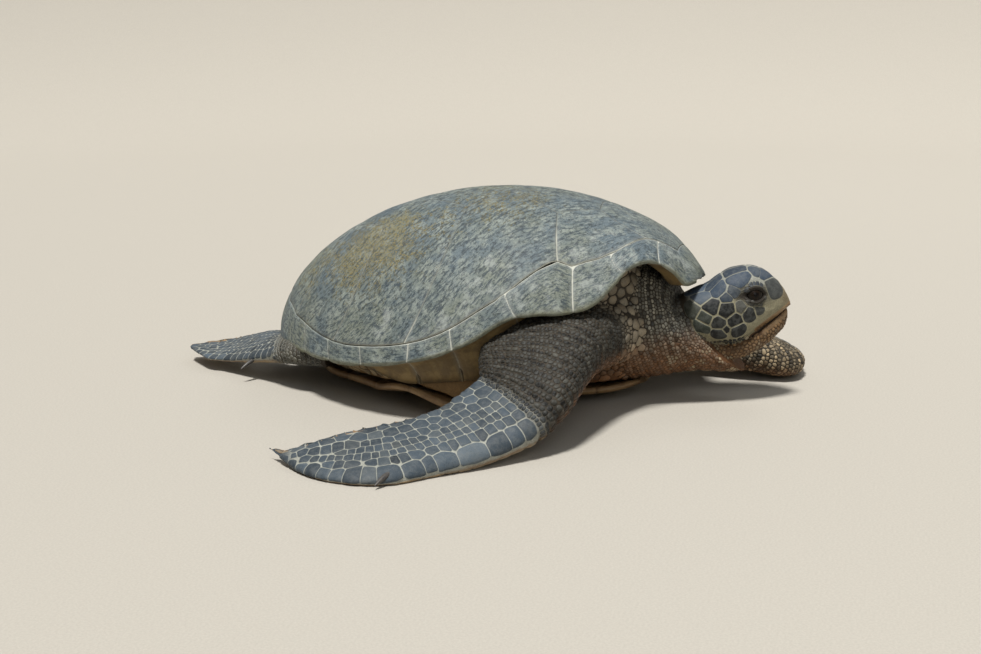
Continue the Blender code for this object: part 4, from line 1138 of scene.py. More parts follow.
class Skin:
    """One skin over all the flesh."""

    VOXEL = 0.0028
    DEPTH = 0.0011
    # Rounds of smoothing, first for all of it, then for all but the throat.
    SOFTEN, SOFTEN_MORE = 5, 26
    # Depth and half width of the slit between the jaws, and the depth that counts as a full fold.
    SLIT, SLIT_HALF, FULL_FOLD = 0.0026, 0.0017, 0.003
    # Least height over the floor, and how near the plates' inside counts as shut away.
    LOWEST, SHUT_AWAY = 0.0006, 0.016
    # Radius of the finest mesh round an eye, and reach of the lids' forming in metres and radians.
    FINE_ROUND_EYE, LID_REACH, LID_TURN = 0.034, 0.048, 1.5
    # Angle within which a vertex is drawn onto the lid's margin, and the step from lid to socket.
    LID_SNAP, LID_STEP = 0.055, 0.012

    def __init__(self, parts: list[Flesh]) -> None:
        """Joins the lofts into one list of triangles that knows what each belongs to."""
        verts, faces, owner, t, a, base = [], [], [], [], [], 0
        for part in parts:
            solid = tube(part.loops)
            verts.append(solid.verts)
            faces.append(solid.faces + base)
            owner.append(np.full(len(solid.faces), part.part.value))
            t.append(np.concatenate([part.t.ravel(), [part.t[0, 0], part.t[-1, 0]]]))
            a.append(np.concatenate([part.a.ravel(), [0, 0]]))
            base += len(solid.verts)
        self.verts, self.faces = np.concatenate(verts), np.concatenate(faces)
        self.owner, self.t, self.a = np.concatenate(owner), np.concatenate(t), np.concatenate(a)
        self.tree = tree_of(self.verts, self.faces)

    def where(self, points: Array) -> tuple[Array, Array, Array]:
        """Place of points on the animal.

        Args:
            points: Points on or near the flesh.
        Returns:
            Part, t and a of the flesh nearest to each.
        """
        hits = [self.tree.find_nearest(p) for p in points]
        face = np.array([h[2] for h in hits])
        spot = np.array([tuple(h[0]) for h in hits])
        tri = self.faces[face]
        d = np.linalg.norm(self.verts[tri] - spot[:, None], axis=2)
        w = 1 / np.maximum(d, 1e-6)
        w /= w.sum(1, keepdims=True)
        near = tri[np.arange(len(tri)), d.argmin(1)]
        return self.owner[face], (self.t[tri] * w).sum(1), self.a[near]

    @staticmethod
    def biggest_only(bm: bmesh.types.BMesh) -> None:
        """Deletes every island of a mesh but the biggest."""
        islands: list = []
        seen: set = set()
        for v in bm.verts:
            if v in seen:
                continue
            stack, island = [v], []
            seen.add(v)
            while stack:
                w = stack.pop()
                island.append(w)
                fresh = [o for o in (e.other_vert(w) for e in w.link_edges) if o not in seen]
                seen.update(fresh)
                stack += fresh
            islands.append(island)
        islands.sort(key=len)
        for island in islands[:-1]:
            bmesh.ops.delete(bm, geom=island, context="VERTS")

    def union(self) -> Solid:
        """One closed mesh of all the flesh, finer on the face and finest round the eyes."""
        raw = make_mesh("flesh_raw", Solid(self.verts, self.faces))
        mod = raw.modifiers.new("one", "REMESH")
        mod.mode, mod.voxel_size, mod.use_smooth_shade = "VOXEL", self.VOXEL, True
        mesh = bpy.data.meshes.new_from_object(
            raw.evaluated_get(bpy.context.evaluated_depsgraph_get()))
        bpy.data.objects.remove(raw)
        bm = bmesh.new()
        bm.from_mesh(mesh)
        bpy.data.meshes.remove(mesh)
        self.biggest_only(bm)
        for region, cuts in ((self.on_face, 1), (self.by_eye, 2)):
            for v, near in zip(bm.verts, region(np.array([v.co for v in bm.verts]) + ORIGIN)):
                v.tag = bool(near)
            edges = [e for e in bm.edges if e.verts[0].tag and e.verts[1].tag]
            bmesh.ops.subdivide_edges(bm, edges=edges, cuts=cuts, use_grid_fill=True)
        bmesh.ops.triangulate(bm, faces=bm.faces)
        verts = np.array([v.co for v in bm.verts]) + ORIGIN
        bm.verts.index_update()
        faces = np.array([[v.index for v in f.verts] for f in bm.faces])
        bm.free()
        return Solid(verts, faces)

    @staticmethod
    def on_face(p: Array) -> Array:
        """Which points lie on the head before its nape."""
        loc = HEAD.local(p)
        return (loc[:, 0] > 0.055) & (loc[:, 2] > -0.095) & (np.abs(loc[:, 1]) < 0.08)

    @staticmethod
    def by_eye(p: Array) -> Array:
        """Which points lie round either eye."""
        return np.min([np.linalg.norm(p - e.centre, axis=1) for e in EYES], axis=0) < Skin.FINE_ROUND_EYE

    @staticmethod
    def folds(solid: Solid, n: Array, part: Array, t: Array) -> Array:
        """Folds, creases and slack skin.

        Args:
            solid: The smooth skin.
            n: Its vertex normals.
            part: The part that each vertex belongs to.
            t: Its place along the part.
        Returns:
            How far each vertex stands out, or sinks in where negative.
        """
        v = solid.verts
        loc = HEAD.local(v)
        rise = 0.0006 * NOISE.deep(v, 0.022) + 0.0004 * NOISE.at(v, 0.008)
        arms = np.isin(part, ARMS)
        warp = 0.0060 * NOISE.at(v, 0.06) + 0.0022 * NOISE.at(v, 0.018)
        reach = t * 0.80 + warp
        band = smooth(t, 0.03, 0.10) * (1 - smooth(t, 0.42, 0.50))
        break_up = 0.55 + 0.45 * NOISE.at(v + 3.0, 0.035)
        ridge = np.abs(np.sin(math.pi * reach / 0.0092))
        rise += arms * band * (0.0022 * ridge**0.7 * break_up - 0.0014)
        pleat = np.abs(np.sin(math.pi * (reach + 0.004 * NOISE.at(v, 0.03)) / 0.020))
        rise += arms * band * (0.0034 * pleat**0.6 - 0.0018)
        neck = part == Part.NECK
        slack = t * 0.30 + 0.012 * NOISE.at(v, 0.07) + 0.0040 * NOISE.at(v, 0.020)
        split = 0.5 + 0.5 * NOISE.at(v + 5.0, 0.030)
        rise += neck * smooth(t, 0.05, 0.2) * (0.0018 * np.abs(np.sin(math.pi * slack / 0.0078))**0.8 * split
                                               + 0.0034 * np.abs(np.sin(math.pi * slack / 0.024))**0.6
                                               + 0.0012 * NOISE.at(v, 0.012) - 0.0026)
        rise += (part == Part.TRUNK) * 0.0022 * NOISE.at(v, 0.03)
        legs = np.isin(part, LEGS)
        rise += legs * (1 - smooth(t, 0.3, 0.5)) * 0.0012 * np.sin(2 * math.pi * t * 0.4 / 0.011)
        jaw = part == Part.JAW
        under = smooth(-n @ HEAD.up, 0.1, 0.7)
        rise += jaw * (1 - smooth(loc[:, 0], 0.10, 0.14)) * under * 0.0010 * np.sin(
            2 * math.pi * (loc[:, 1] + 0.003 * NOISE.at(v, 0.03)) / 0.013)
        return rise

    @staticmethod
    def mouth(v: Array) -> Array:
        """Signed height over the mouth's line; far values away from it."""
        loc = HEAD.local(v)
        line = curve(np.clip(loc[:, 0], -0.02, 0.197), HEAD_LOW) - 0.0006
        d = (loc[:, 2] - line) * 0.92
        corner = smooth(loc[:, 0], 0.094, 0.102)
        return np.where(np.abs(loc[:, 1]) < 0.075, d, 1.0) + (1 - corner) * 0.05 * np.sign(d + 1e-9)

    @staticmethod
    def lids(v: Array) -> tuple[Array, Array]:
        """Opens the eyes.

        Args:
            v: The skin's vertices.
        Returns:
            The vertices, moved onto lid margins, lids and sockets, and how far each is from a margin.
        """
        v = v.copy()
        gape = np.full(len(v), 1.0)
        r = HEAD.EYE_R
        for eye in EYES:
            theta, phi, rho = eye.polar(v)
            near = (rho < Skin.LID_REACH) & (theta < Skin.LID_TURN)
            th, ph, rh = theta[near], phi[near], rho[near]
            margin = eye.open_at(ph)
            off = th - margin
            snap = np.abs(off) < Skin.LID_SNAP
            th = np.where(snap, margin + np.where(off > 0, 0.0, -Skin.LID_STEP), th)
            off = th - margin
            upper = smooth(np.sin(ph), -0.2, 0.5)
            swell = r + 0.0008 + 0.0034 * smooth(off, -0.01, 0.16) * (1 - smooth(off, 0.30, 0.75)) \
                + 0.0012 * upper * hump(off, 0.22, 0.16)
            crease = 0.0007 * np.sin(off * 2 * math.pi / 0.105) * hump(off, 0.30, 0.26)
            lid = np.maximum(swell, np.minimum(rh, swell + 0.02) * smooth(off, 0.10, 0.55)
                             + swell * (1 - smooth(off, 0.10, 0.55)))
            out = lid + crease * (off > 0.06)
            rh = np.where(off < -0.005, np.minimum(rh, r - 0.0018), out)
            keep = smooth(theta[near], 1.05, 1.4)
            rh = rh * (1 - keep) + rho[near] * keep
            v[near] = eye.place(th, ph, rh)
            gape[near] = np.minimum(gape[near], off)
        return v, gape

    @staticmethod
    def hidden(points: Array) -> Array:
        """Which points lie shut away under the plates."""
        co, tris, base = [], [], 0
        for name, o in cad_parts.items():
            if not name.startswith(("vertebral", "costal", "nuchal", "plastron")):
                continue
            o.data.calc_loop_triangles()
            pts = np.array([p.co for p in o.data.vertices]) + ORIGIN
            co.append(pts)
            tris += [[i + base for i in f.vertices] for f in o.data.loop_triangles]
            base += len(pts)
        tree = tree_of(np.concatenate(co), tris)
        return np.array([tree.find_nearest(p, Skin.SHUT_AWAY)[0] is not None for p in points])

    def build(self) -> Hide:
        """Union, folds, lids, mouth, colours."""
        solid = self.union()
        loc = HEAD.local(solid.verts)
        throat = hump(loc[:, 0], 0.045, 0.050) * (1 - smooth(loc[:, 2], -0.045, -0.020))
        solid.verts = relax(solid, solid.verts, self.SOFTEN)
        solid.verts = relax(solid, solid.verts, self.SOFTEN_MORE, 1 - throat)
        n = normals_of(solid)
        part, t, _ = self.where(solid.verts)
        rise = relax(solid, self.folds(solid, n, part, t), 1)
        mouth = self.mouth(solid.verts)
        rise -= self.SLIT * np.exp(-(mouth / self.SLIT_HALF)**2) * np.isin(part, (Part.HEAD, Part.JAW))
        v = solid.verts + n * (rise - self.DEPTH)[:, None]
        v, gape = self.lids(v)
        v[:, 2] = np.maximum(v[:, 2], self.LOWEST)
        solid.verts = v
        n = turned_out(solid, v.mean(0))
        skin, plate = HidePaint(v, n, part, t, rise, gape).done()
        # Depth of each fold, from which the bare skin paints shade in it.
        deep = np.clip(-rise / self.FULL_FOLD, -1, 1)
        solid.paint = {"tone": skin, "mouth": mouth, "gape": gape, "deep": deep}
        return Hide(solid, n, part, t, plate, tree_of(v, solid.faces))


@dataclass
class HidePaint:
    """Colours of the bare skin and of the scales on it, laid on region by region."""

    v: Array
    n: Array
    part: Array
    t: Array
    rise: Array
    gape: Array
    RUST, SLATE = np.array([0.150, 0.066, 0.024]), np.array([0.046, 0.062, 0.078])
    CREAM, LINE = np.array([0.42, 0.39, 0.26]), np.array([0.34, 0.35, 0.31])

    def done(self) -> tuple[Array, Array]:
        """The colours of the skin and of the scales, linear, one row per vertex."""
        self.loc = HEAD.local(self.v)
        self.blotch = 0.5 + 0.5 * NOISE.deep(self.v, 0.05)
        self.fine = 0.5 + 0.5 * NOISE.at(self.v, 0.009)
        self.body()
        self.limbs()
        self.head()
        self.jaw()
        self.lids()
        return self.skin, self.plate

    def body(self) -> None:
        """Dark skin, grey-brown scales, pale knobs, rust low in front and tan beside the belly, with painted
        light and shade by part and on the folds.
        """
        v, t, part, blotch, fine = self.v, self.t, self.part, self.blotch, self.fine
        neck, trunk = part == Part.NECK, part == Part.TRUNK
        right, left = part == Part.ARM_RIGHT, part == Part.ARM_LEFT
        skin = lerp((0.028, 0.024, 0.018), (0.060, 0.046, 0.030), 0.55 * blotch + 0.3 * fine)
        plate = lerp((0.036, 0.034, 0.027), (0.078, 0.073, 0.058), blotch)
        # Brightness by part: painted light on the far (left) arm, painted shade on the near (right) arm, the
        # neck and trunk raised.
        plate *= np.where(neck, 2.5, np.where(left, 3.4, np.where(right, 0.46, 1.3)))[:, None]
        # Painted shade in the fold valleys and painted light on the fold crests.
        plate *= (0.12 + 2.0 * smooth(self.rise, -0.0010, 0.0028))[:, None]
        knobs = np.maximum(trunk * 1.0, np.maximum(neck * (1 - smooth(t, 0.20, 0.32)),
                                                   (right | left) * (1 - smooth(t, 0.05, 0.10))))
        plate = lerp(plate, lerp((0.165, 0.132, 0.088), (0.285, 0.245, 0.180), fine), knobs)
        plate = lerp(plate, plate * np.array([1.25, 1.0, 0.72]), left * 0.8)
        low = smooth(-v[:, 2], -0.165, -0.085)
        front = np.isin(part, (Part.NECK, Part.TRUNK, Part.JAW))
        warm = front * np.clip(low * 1.1 - 0.2 * blotch, 0, 1) * (v[:, 1] < -0.08)
        skin = lerp(skin, self.RUST, warm * 0.85)
        plate = lerp(plate, self.RUST * lerp(0.7, 1.5, fine), warm * 0.90)
        nape = neck * smooth(t, 0.55, 0.95) * smooth(v[:, 2], 0.12, 0.22)
        plate = lerp(plate, (0.13, 0.13, 0.11), nape * 0.6)
        bridge = trunk * (v[:, 1] > -0.08) * (1 - smooth(v[:, 2], 0.10, 0.16))
        self.skin = lerp(skin, (0.22, 0.13, 0.050), bridge * 0.8)
        self.plate = lerp(plate, (0.26, 0.19, 0.10), bridge * 0.8)

    def limbs(self) -> None:
        """Slate blades with pale lines, tan below, a lighter tan far flipper blade and rusty armpits."""
        n, t, part, slate, fine = self.n, self.t, self.part, self.SLATE, self.fine
        arms, legs = np.isin(part, ARMS), np.isin(part, LEGS)
        blade = arms * smooth(t, 0.38, 0.46) + legs * smooth(t, 0.25, 0.4)
        up = smooth(n[:, 2], -0.72, -0.25)
        tip = smooth(t, 0.95, 0.985)
        skin = lerp(self.skin, lerp((0.26, 0.17, 0.095), lerp(self.LINE, slate, tip), up), blade)
        top = lerp(slate * 0.72, slate * 1.25, self.blotch)
        # The far (left) flipper's blade is painted lighter and tan.
        far = (part == Part.ARM_LEFT) * smooth(t, 0.4, 0.6) * 0.30
        top = lerp(top, (0.215, 0.165, 0.110), far * (0.5 + 0.5 * fine))
        plate = lerp(self.plate, lerp((0.30, 0.22, 0.13), top, up), blade)
        armpit = arms * (1 - smooth(t, 0.30, 0.45)) * smooth(-n[:, 2], 0.0, 0.6)
        self.skin = lerp(skin, self.RUST, armpit * 0.7)
        self.plate = lerp(plate, self.RUST * 1.3, armpit * 0.6)

    def head(self) -> None:
        """Dark plates with cream lines, browner on the snout; the crown's plates are painted bluer and
        lighter, a painted reflection of the sky on the top of the head.
        """
        loc, skin, plate = self.loc, self.skin, self.plate
        head = self.part == Part.HEAD
        crown = smooth(loc[:, 2], *HEAD.CROWN)
        back = 1 - smooth(loc[:, 0], 0.020, 0.040)
        # The top of the head is painted bluer and lighter: a painted reflection of the sky.
        h_plate = lerp((0.013, 0.014, 0.014), (0.038, 0.056, 0.082), crown)
        h_plate = lerp(h_plate, (0.042, 0.050, 0.038), back * (1 - crown) * 0.8)
        h_skin = lerp(self.CREAM * 0.66, self.LINE * 0.85, crown)
        nose = smooth(loc[:, 0], 0.112, 0.150) * (1 - crown)
        h_plate = lerp(h_plate, (0.085, 0.088, 0.078), nose * smooth(loc[:, 2], -0.010, 0.015))
        snout = head * smooth(loc[:, 0], 0.170, 0.190) * (1 - crown * 0.7)
        h_plate = lerp(h_plate, (0.13, 0.105, 0.072), snout * 0.8)
        h_skin = lerp(h_skin, (0.20, 0.16, 0.10), snout * 0.8)
        behind = 1 - smooth(loc[:, 0], -0.004, 0.010)
        self.plate = np.where(head[:, None], lerp(h_plate, plate, behind), plate)
        self.skin = np.where(head[:, None], lerp(h_skin, skin, behind), skin)

    def jaw(self) -> None:
        """Rusty jaw, with pale spots on the throat."""
        loc, blotch = self.loc, self.blotch
        jaw = (self.part == Part.JAW)[:, None]
        self.skin = np.where(jaw, lerp((0.110, 0.065, 0.034), self.RUST, 0.4 * blotch), self.skin)
        plate = np.where(jaw, lerp((0.210, 0.135, 0.066), self.RUST, 0.45 * blotch), self.plate)
        throat = (loc[:, 2] < -0.040) & (loc[:, 0] > -0.06) & (np.abs(loc[:, 1]) < 0.09)
        spots = smooth(NOISE.at(self.v + 9.0, 0.011), 0.25, 0.50) * throat
        self.plate = lerp(plate, (0.34, 0.29, 0.19), spots * (1 - smooth(loc[:, 0], 0.10, 0.13)) * 0.65)

    def lids(self) -> None:
        """Dark lids in a grey ring; the tail is slate."""
        gape = self.gape
        lid = (1 - smooth(gape, 0.16, 0.34)) * ((self.part == Part.HEAD) | (gape < 0.9))
        ring = (1 - smooth(gape, 0.40, 0.70)) * (gape < 0.9)
        self.skin = lerp(self.skin, (0.085, 0.080, 0.060), ring * 0.75)
        self.skin = lerp(self.skin, (0.022, 0.018, 0.014), lid * 0.95)
        plate = lerp(self.plate, (0.050, 0.050, 0.044), ring * 0.6)
        plate = lerp(plate, (0.026, 0.022, 0.018), lid * 0.95)
        self.plate = np.where((self.part == Part.TAIL)[:, None], self.SLATE * 1.2, plate)


# ------------------------------------------------------------------ scales
@dataclass
class Roots:
    """Where scales grow: place, size, lift, colour and shape of each."""

    at: Array
    size: Array
    lift: Array
    dome: Array
    rank: Array
    NAMED, RIM, SHOULDER, PEBBLE = 9, 8, 4, 3

    @staticmethod
    def join(items: list["Roots"]) -> "Roots":
        """All the roots of several lots."""
        return Roots(*(np.concatenate([getattr(i, k.name) for i in items]) for k in fields(Roots)))

    def pick(self, mask: Array) -> "Roots":
        """The roots that a mask keeps."""
        return Roots(*(getattr(self, k.name)[mask] for k in fields(Roots)))


class Sower:
    """Lays out the roots of scales in rows that follow each part's form.

    Every method that makes roots takes their size (half a scale's width), lift (thickness at the
    edge), dome (rise as a share of the size) and rank (which of two crowded scales stays).
    """

    ROUND, ALONG = 240, 400

    def __init__(self, parts: list[Flesh], hide: Hide, seed: int) -> None:
        """Keeps the flesh by part, the skin, and its own random draws."""
        self.by = {p.part: p for p in parts}
        self.hide = hide
        self.rng = np.random.default_rng(seed)

    def surface(self, part: Part, t: Array, a: Array) -> Array:
        """Points on a part's loft.

        Args:
            part: The part.
            t: Place along it, as its own parameter.
            a: Place round it, 0 to 1.
        Returns:
            The points.
        """
        flesh = self.by[part]
        n, m = flesh.loops.shape[:2]
        i = np.interp(t, flesh.t[:, 0], np.arange(n))
        j = (np.asarray(a) % 1.0) * m
        i0, j0 = np.minimum(i.astype(int), n - 2), j.astype(int) % m
        fi, fj = (i - i0)[:, None], (j - np.floor(j))[:, None]
        j1 = (j0 + 1) % m
        g = flesh.loops
        return ((g[i0, j0] * (1 - fj) + g[i0, j1] * fj) * (1 - fi)
                + (g[i0 + 1, j0] * (1 - fj) + g[i0 + 1, j1] * fj) * fi)

    def made(self, at: Array, size: float, lift: float, dome: float, rank: int) -> Roots:
        """Roots of one kind, each a little unlike the next.

        Args:
            at: Their places.
            size, lift, dome, rank: What the class says.
        Returns:
            The roots.
        """
        k = len(at)
        vary = 1 + 0.12 * self.rng.standard_normal(k)
        return Roots(at, np.full(k, size) * np.clip(vary, 0.75, 1.3), np.full(k, lift)
                     * np.clip(1 + 0.2 * self.rng.standard_normal(k), 0.5, 1.5),
                     np.full(k, dome), np.full(k, rank))

    def rings(self, part: Part, t0: float, t1: float, step: float, gap: float, lift: float,
              dome: float, rank: int, jitter: float = 0.12) -> Roots:
        """Rows round a part, offset like bricks.

        Args:
            part: The part.
            t0: Where the rows start along it.
            t1: Where they end.
            step: Distance between rows.
            gap: Distance between scales in a row.
            lift, dome, rank: What the class says.
            jitter: How far scales stray, as a share of the spacing.
        Returns:
            The roots.
        """
        flesh = self.by[part]
        arc = run_length(flesh.loops.mean(1))
        s0, s1 = np.interp([t0, t1], flesh.t[:, 0], arc)
        out = []
        for k, s in enumerate(np.arange(s0, s1, step)):
            t = float(np.interp(s, arc, flesh.t[:, 0]))
            a = np.linspace(0.0, 1.0, self.ROUND)
            run = run_length(self.surface(part, np.full(self.ROUND, t), a))
            count = max(int(run[-1] / gap), 1)
            marks = (np.arange(count) + (0.5 if k % 2 else 0.0)
                     + jitter * self.rng.standard_normal(count)) * run[-1] / count
            tt = t + jitter * self.rng.standard_normal(count) * step * 0.5 * (t1 - t0) / max(s1 - s0, 1e-6)
            out.append(self.surface(part, tt, np.interp(marks, run, a)))
        return self.made(np.concatenate(out), max(step, gap) * 0.55, lift, dome, rank)

    def lane(self, part: Part, x: float, top: bool, gap: float, size: float, lift: float,
             dome: float, rank: int, start: float = 0.43, end: float = 0.985) -> Roots:
        """One row of plates along a flipper.

        Args:
            part: The flipper.
            x: How far the row lies from the leading edge to the hind one.
            top: Whether it is on the upper face.
            gap: Distance between its plates.
            size, lift, dome, rank: What the class says.
            start: Where the row starts along the limb.
            end: Where it ends.
        Returns:
            The roots.
        """
        a = math.acos(1 - 2 * x) / (2 * math.pi)
        a = a if top == self.upper_first(part) else 1 - a
        t = np.linspace(start, end, self.ALONG)
        run = run_length(self.surface(part, t, np.full(self.ALONG, a)))
        count = max(int(run[-1] / gap), 2)
        marks = (np.arange(count) + 0.5 + 0.08 * self.rng.standard_normal(count)) * run[-1] / count
        return self.made(self.surface(part, np.interp(marks, run, t), np.full(count, a)), size, lift,
                         dome, rank)

    def upper_first(self, part: Part) -> bool:
        """Whether the first half of the section's angles is the upper face."""
        flesh = self.by[part]
        n, m = flesh.loops.shape[:2]
        row = flesh.loops[int(n * 0.6)]
        return bool(row[m // 4, 2] > row[3 * m // 4, 2])

    def scatter(self, mask: Array, size: float, lift: float, dome: float, rank: int) -> Roots:
        """Even but unordered roots.

        Args:
            mask: The vertices of the skin on which they may stand.
            size, lift, dome, rank: What the class says.
        Returns:
            The roots.
        """
        idx = self.rng.permutation(np.flatnonzero(mask))
        pts = self.hide.solid.verts[idx]
        cell = size * 1.7
        grid: dict = {}
        keep = []
        for i, p in zip(idx, pts):
            key = tuple(np.floor(p / cell).astype(int))
            near = [q for dx in (-1, 0, 1) for dy in (-1, 0, 1) for dz in (-1, 0, 1)
                    for q in grid.get((key[0] + dx, key[1] + dy, key[2] + dz), ())]
            if all(np.dot(p - q, p - q) > cell * cell for q in near):
                grid.setdefault(key, []).append(p)
                keep.append(i)
        return self.made(self.hide.solid.verts[np.array(keep, int)], size, lift, dome, rank)


@dataclass
class Coat:
    """Scales as pillow-shaped plates whose borders meet halfway between their roots."""

    hide: Hide
    skin: Skin
    spread: float = 1.6
    RINGS = ((1.03, -1.0, 0.0), (0.985, 0.55, 0.0), (0.86, 0.92, 0.25), (0.50, 1.0, 0.75), (0.0, 1.0, 1.0))
    CROWDED, PAIRED, OFF_SKIN = 0.62, 0.28, 0.0045
    POWERS = (34.0, 20.0, 11.0)

    def settle(self, roots: Roots) -> Roots:
        """Drops roots that are off the skin, or that crowd a root of higher rank.

        Args:
            roots: The roots as they were laid out.
        Returns:
            Those that stay, moved onto the skin.
        """
        hits = [self.hide.bvh.find_nearest(p) for p in roots.at]
        gap = np.array([h[3] for h in hits])
        roots.at = np.array([tuple(h[0]) for h in hits])
        roots = roots.pick(gap < self.OFF_SKIN)
        order = np.argsort(-roots.rank * 1000 - roots.size * 1000, kind="stable")
        tree = kd_of(roots.at)
        out = np.zeros(len(order), bool)
        gone = np.zeros(len(order), bool)
        for i in order:
            if gone[i]:
                continue
            out[i] = True
            for _, j, d in tree.find_range(roots.at[i], self.CROWDED * (roots.size[i] + 0.024)):
                both = roots.rank[i] + roots.rank[j] == 2 * Roots.NAMED
                close = self.PAIRED if both else self.CROWDED
                if j != i and d < close * (roots.size[i] + roots.size[j]) and not out[j]:
                    gone[j] = True
        return roots.pick(out)

    def facing(self, roots: Roots) -> tuple[Array, Array]:
        """The skin's triangle under each root, and which way it faces."""
        tri = self.hide.solid.faces[[self.hide.bvh.find_nearest(p)[2] for p in roots.at]]
        return tri, unit(self.hide.normal[tri].mean(1))

    def gather(self, crowd: Roots) -> None:
        """Notes every root of the coat, so that scales of two pieces still shape one another."""
        self.crowd, self.crowd_normal = crowd, self.facing(crowd)[1]
        self.tree = kd_of(crowd.at)

    def reach(self, roots: Roots, around: int, border: Array, axes: tuple) -> Array:
        """How far each scale reaches to every side.

        Args:
            roots: Settled roots.
            around: Points round each scale.
            border: Width of the bare skin left round each scale.
            axes: The normal and two axes of the skin's plane at each root.
        Returns:
            One distance per scale and point round it.
        """
        normal, side, tall = axes
        near = 14 if around < 13 else 34
        who = np.array([[j for _, j, _ in self.tree.find_n(p, near + 1)[1:]] for p in roots.at])
        d = self.crowd.at[who] - roots.at[:, None]
        x, y = (d * side[:, None]).sum(2), (d * tall[:, None]).sum(2)
        flat = np.maximum(np.hypot(x, y), 0.6 * np.linalg.norm(d, axis=2))
        share = roots.size[:, None] / (roots.size[:, None] + self.crowd.size[who])
        h = flat * share
        h[(normal[:, None] * self.crowd_normal[who]).sum(2) < 0.1] = 1.0
        phi = np.arctan2(y, x)
        c = np.cos(turn(around)[None, None] - phi[:, :, None])
        inv = np.where(c > 0.05, c / np.maximum(h[:, :, None], 1e-5), 0)
        cap = 1 / (roots.size * self.spread)
        named, wide, small = self.POWERS
        power = np.where(roots.rank == Roots.NAMED, named, np.where(roots.size > 0.009, wide, small))[:, None]
        rho = 1 / ((inv**power[..., None]).sum(1) + cap[:, None]**power)**(1 / power)
        return np.maximum(rho - 0.5 * border[:, None], roots.size[:, None] * 0.25)

    @staticmethod
    def fan(around: int, n: int) -> Array:
        """Triangles of n scales, each four rings of points and a middle one."""
        r = np.arange(around)
        q = (r + 1) % around
        faces = []
        for k in range(3):
            a, b = k * around, (k + 1) * around
            faces += [np.stack([a + r, a + q, b + q], -1), np.stack([a + r, b + q, b + r], -1)]
        faces.append(np.stack([3 * around + r, 3 * around + q, np.full(around, 4 * around)], -1))
        one = np.concatenate(faces)
        return (one[None] + (np.arange(n) * (4 * around + 1))[:, None, None]).reshape(-1, 3)

    def chart(self, roots: Roots, around: int) -> Array:
        """Place on the unwrap: one field for each part, one small patch for each scale."""
        part, t, a = self.skin.where(roots.at)
        at = np.stack([(part % 3 + 0.02 + 0.94 * self.span(part, t)) / 3,
                       (part // 3 + 0.02 + 0.94 * (a % 1.0)) / 3], -1)
        th = turn(around)
        local = np.stack([np.cos(th), np.sin(th)], -1) * 0.0015
        uv = np.concatenate([local * s for s in (1.0, 0.94, 0.7, 0.3)] + [np.zeros((1, 2))])
        return (at[:, None] + uv[None]).reshape(-1, 2)

    def build(self, roots: Roots, around: int, border: Array) -> tuple[Solid, Array]:
        """Meshes every scale.

        Args:
            roots: Settled roots of this piece, all of them in the gathered crowd.
            around: Points round each scale.
            border: Width of the bare skin left round each scale.
        Returns:
            The joined scales and each vertex's place on the unwrap.
        """
        n = len(roots.at)
        tri, normal = self.facing(roots)
        side = unit(np.cross(normal, np.where(np.abs(normal[:, :1]) > 0.8, [[0, 1.0, 0]], [[1.0, 0, 0]])))
        tall = np.cross(normal, side)
        rho = self.reach(roots, around, border, (normal, side, tall))
        th = turn(around)
        pts, edge = [], []
        ray = np.cos(th)[None, :, None] * side[:, None] + np.sin(th)[None, :, None] * tall[:, None]
        for scale, rise, crown in self.RINGS:
            m = 1 if scale == 0 else around
            p = roots.at[:, None] + (ray[:, :m] * (rho[:, :m, None] * scale))
            got = [self.hide.bvh.find_nearest(q) for q in p.reshape(-1, 3)]
            base = np.array([tuple(g[0]) for g in got]).reshape(n, m, 3)
            lie = self.hide.normal[self.hide.solid.faces[[g[2] for g in got]]].mean(1).reshape(n, m, 3)
            lie = unit(lie + 0.6 * normal[:, None])
            up = -0.0004 if rise < 0 else roots.lift[:, None] * rise \
                + roots.dome[:, None] * roots.size[:, None] * crown
            pts.append(base + lie * (np.ones((n, m)) * up)[..., None])
            edge.append(np.full((n, m), 1.0) * (rho[:, :m] * (1 - scale) if scale else rho[:, :1]))
        verts = np.concatenate(pts, 1).reshape(-1, 3)
        faces = self.fan(around, n)
        one = verts[faces[0]]
        if np.cross(one[1] - one[0], one[2] - one[0]) @ normal[0] < 0:
            faces = faces[:, ::-1]
        rng = np.random.default_rng(n)
        # Each scale takes the skin's plate colour, with its painted light and shade by part and on the folds.
        tone = self.hide.plate_tone[tri].mean(1) * (1 + 0.16 * rng.standard_normal((n, 1))).clip(0.55, 1.5)
        per = len(verts) // n
        paint = {"tone": np.repeat(tone, per, 0), "edge": np.concatenate(edge, 1).ravel(),
                 "each": np.repeat(rng.random(n), per)}
        return Solid(verts, faces, paint), self.chart(roots, around)

    @staticmethod
    def span(part: Array, t: Array) -> Array:
        """Place along each part from 0 to 1."""
        lo = np.array([0.115, 0, -0.02, 0.03, 0, 0, 0, 0, 0])[part]
        hi = np.array([0.92, 1, 0.197, 0.1885, 1, 1, 1, 1, 1])[part]
        return np.clip((t - lo) / (hi - lo), 0, 1)


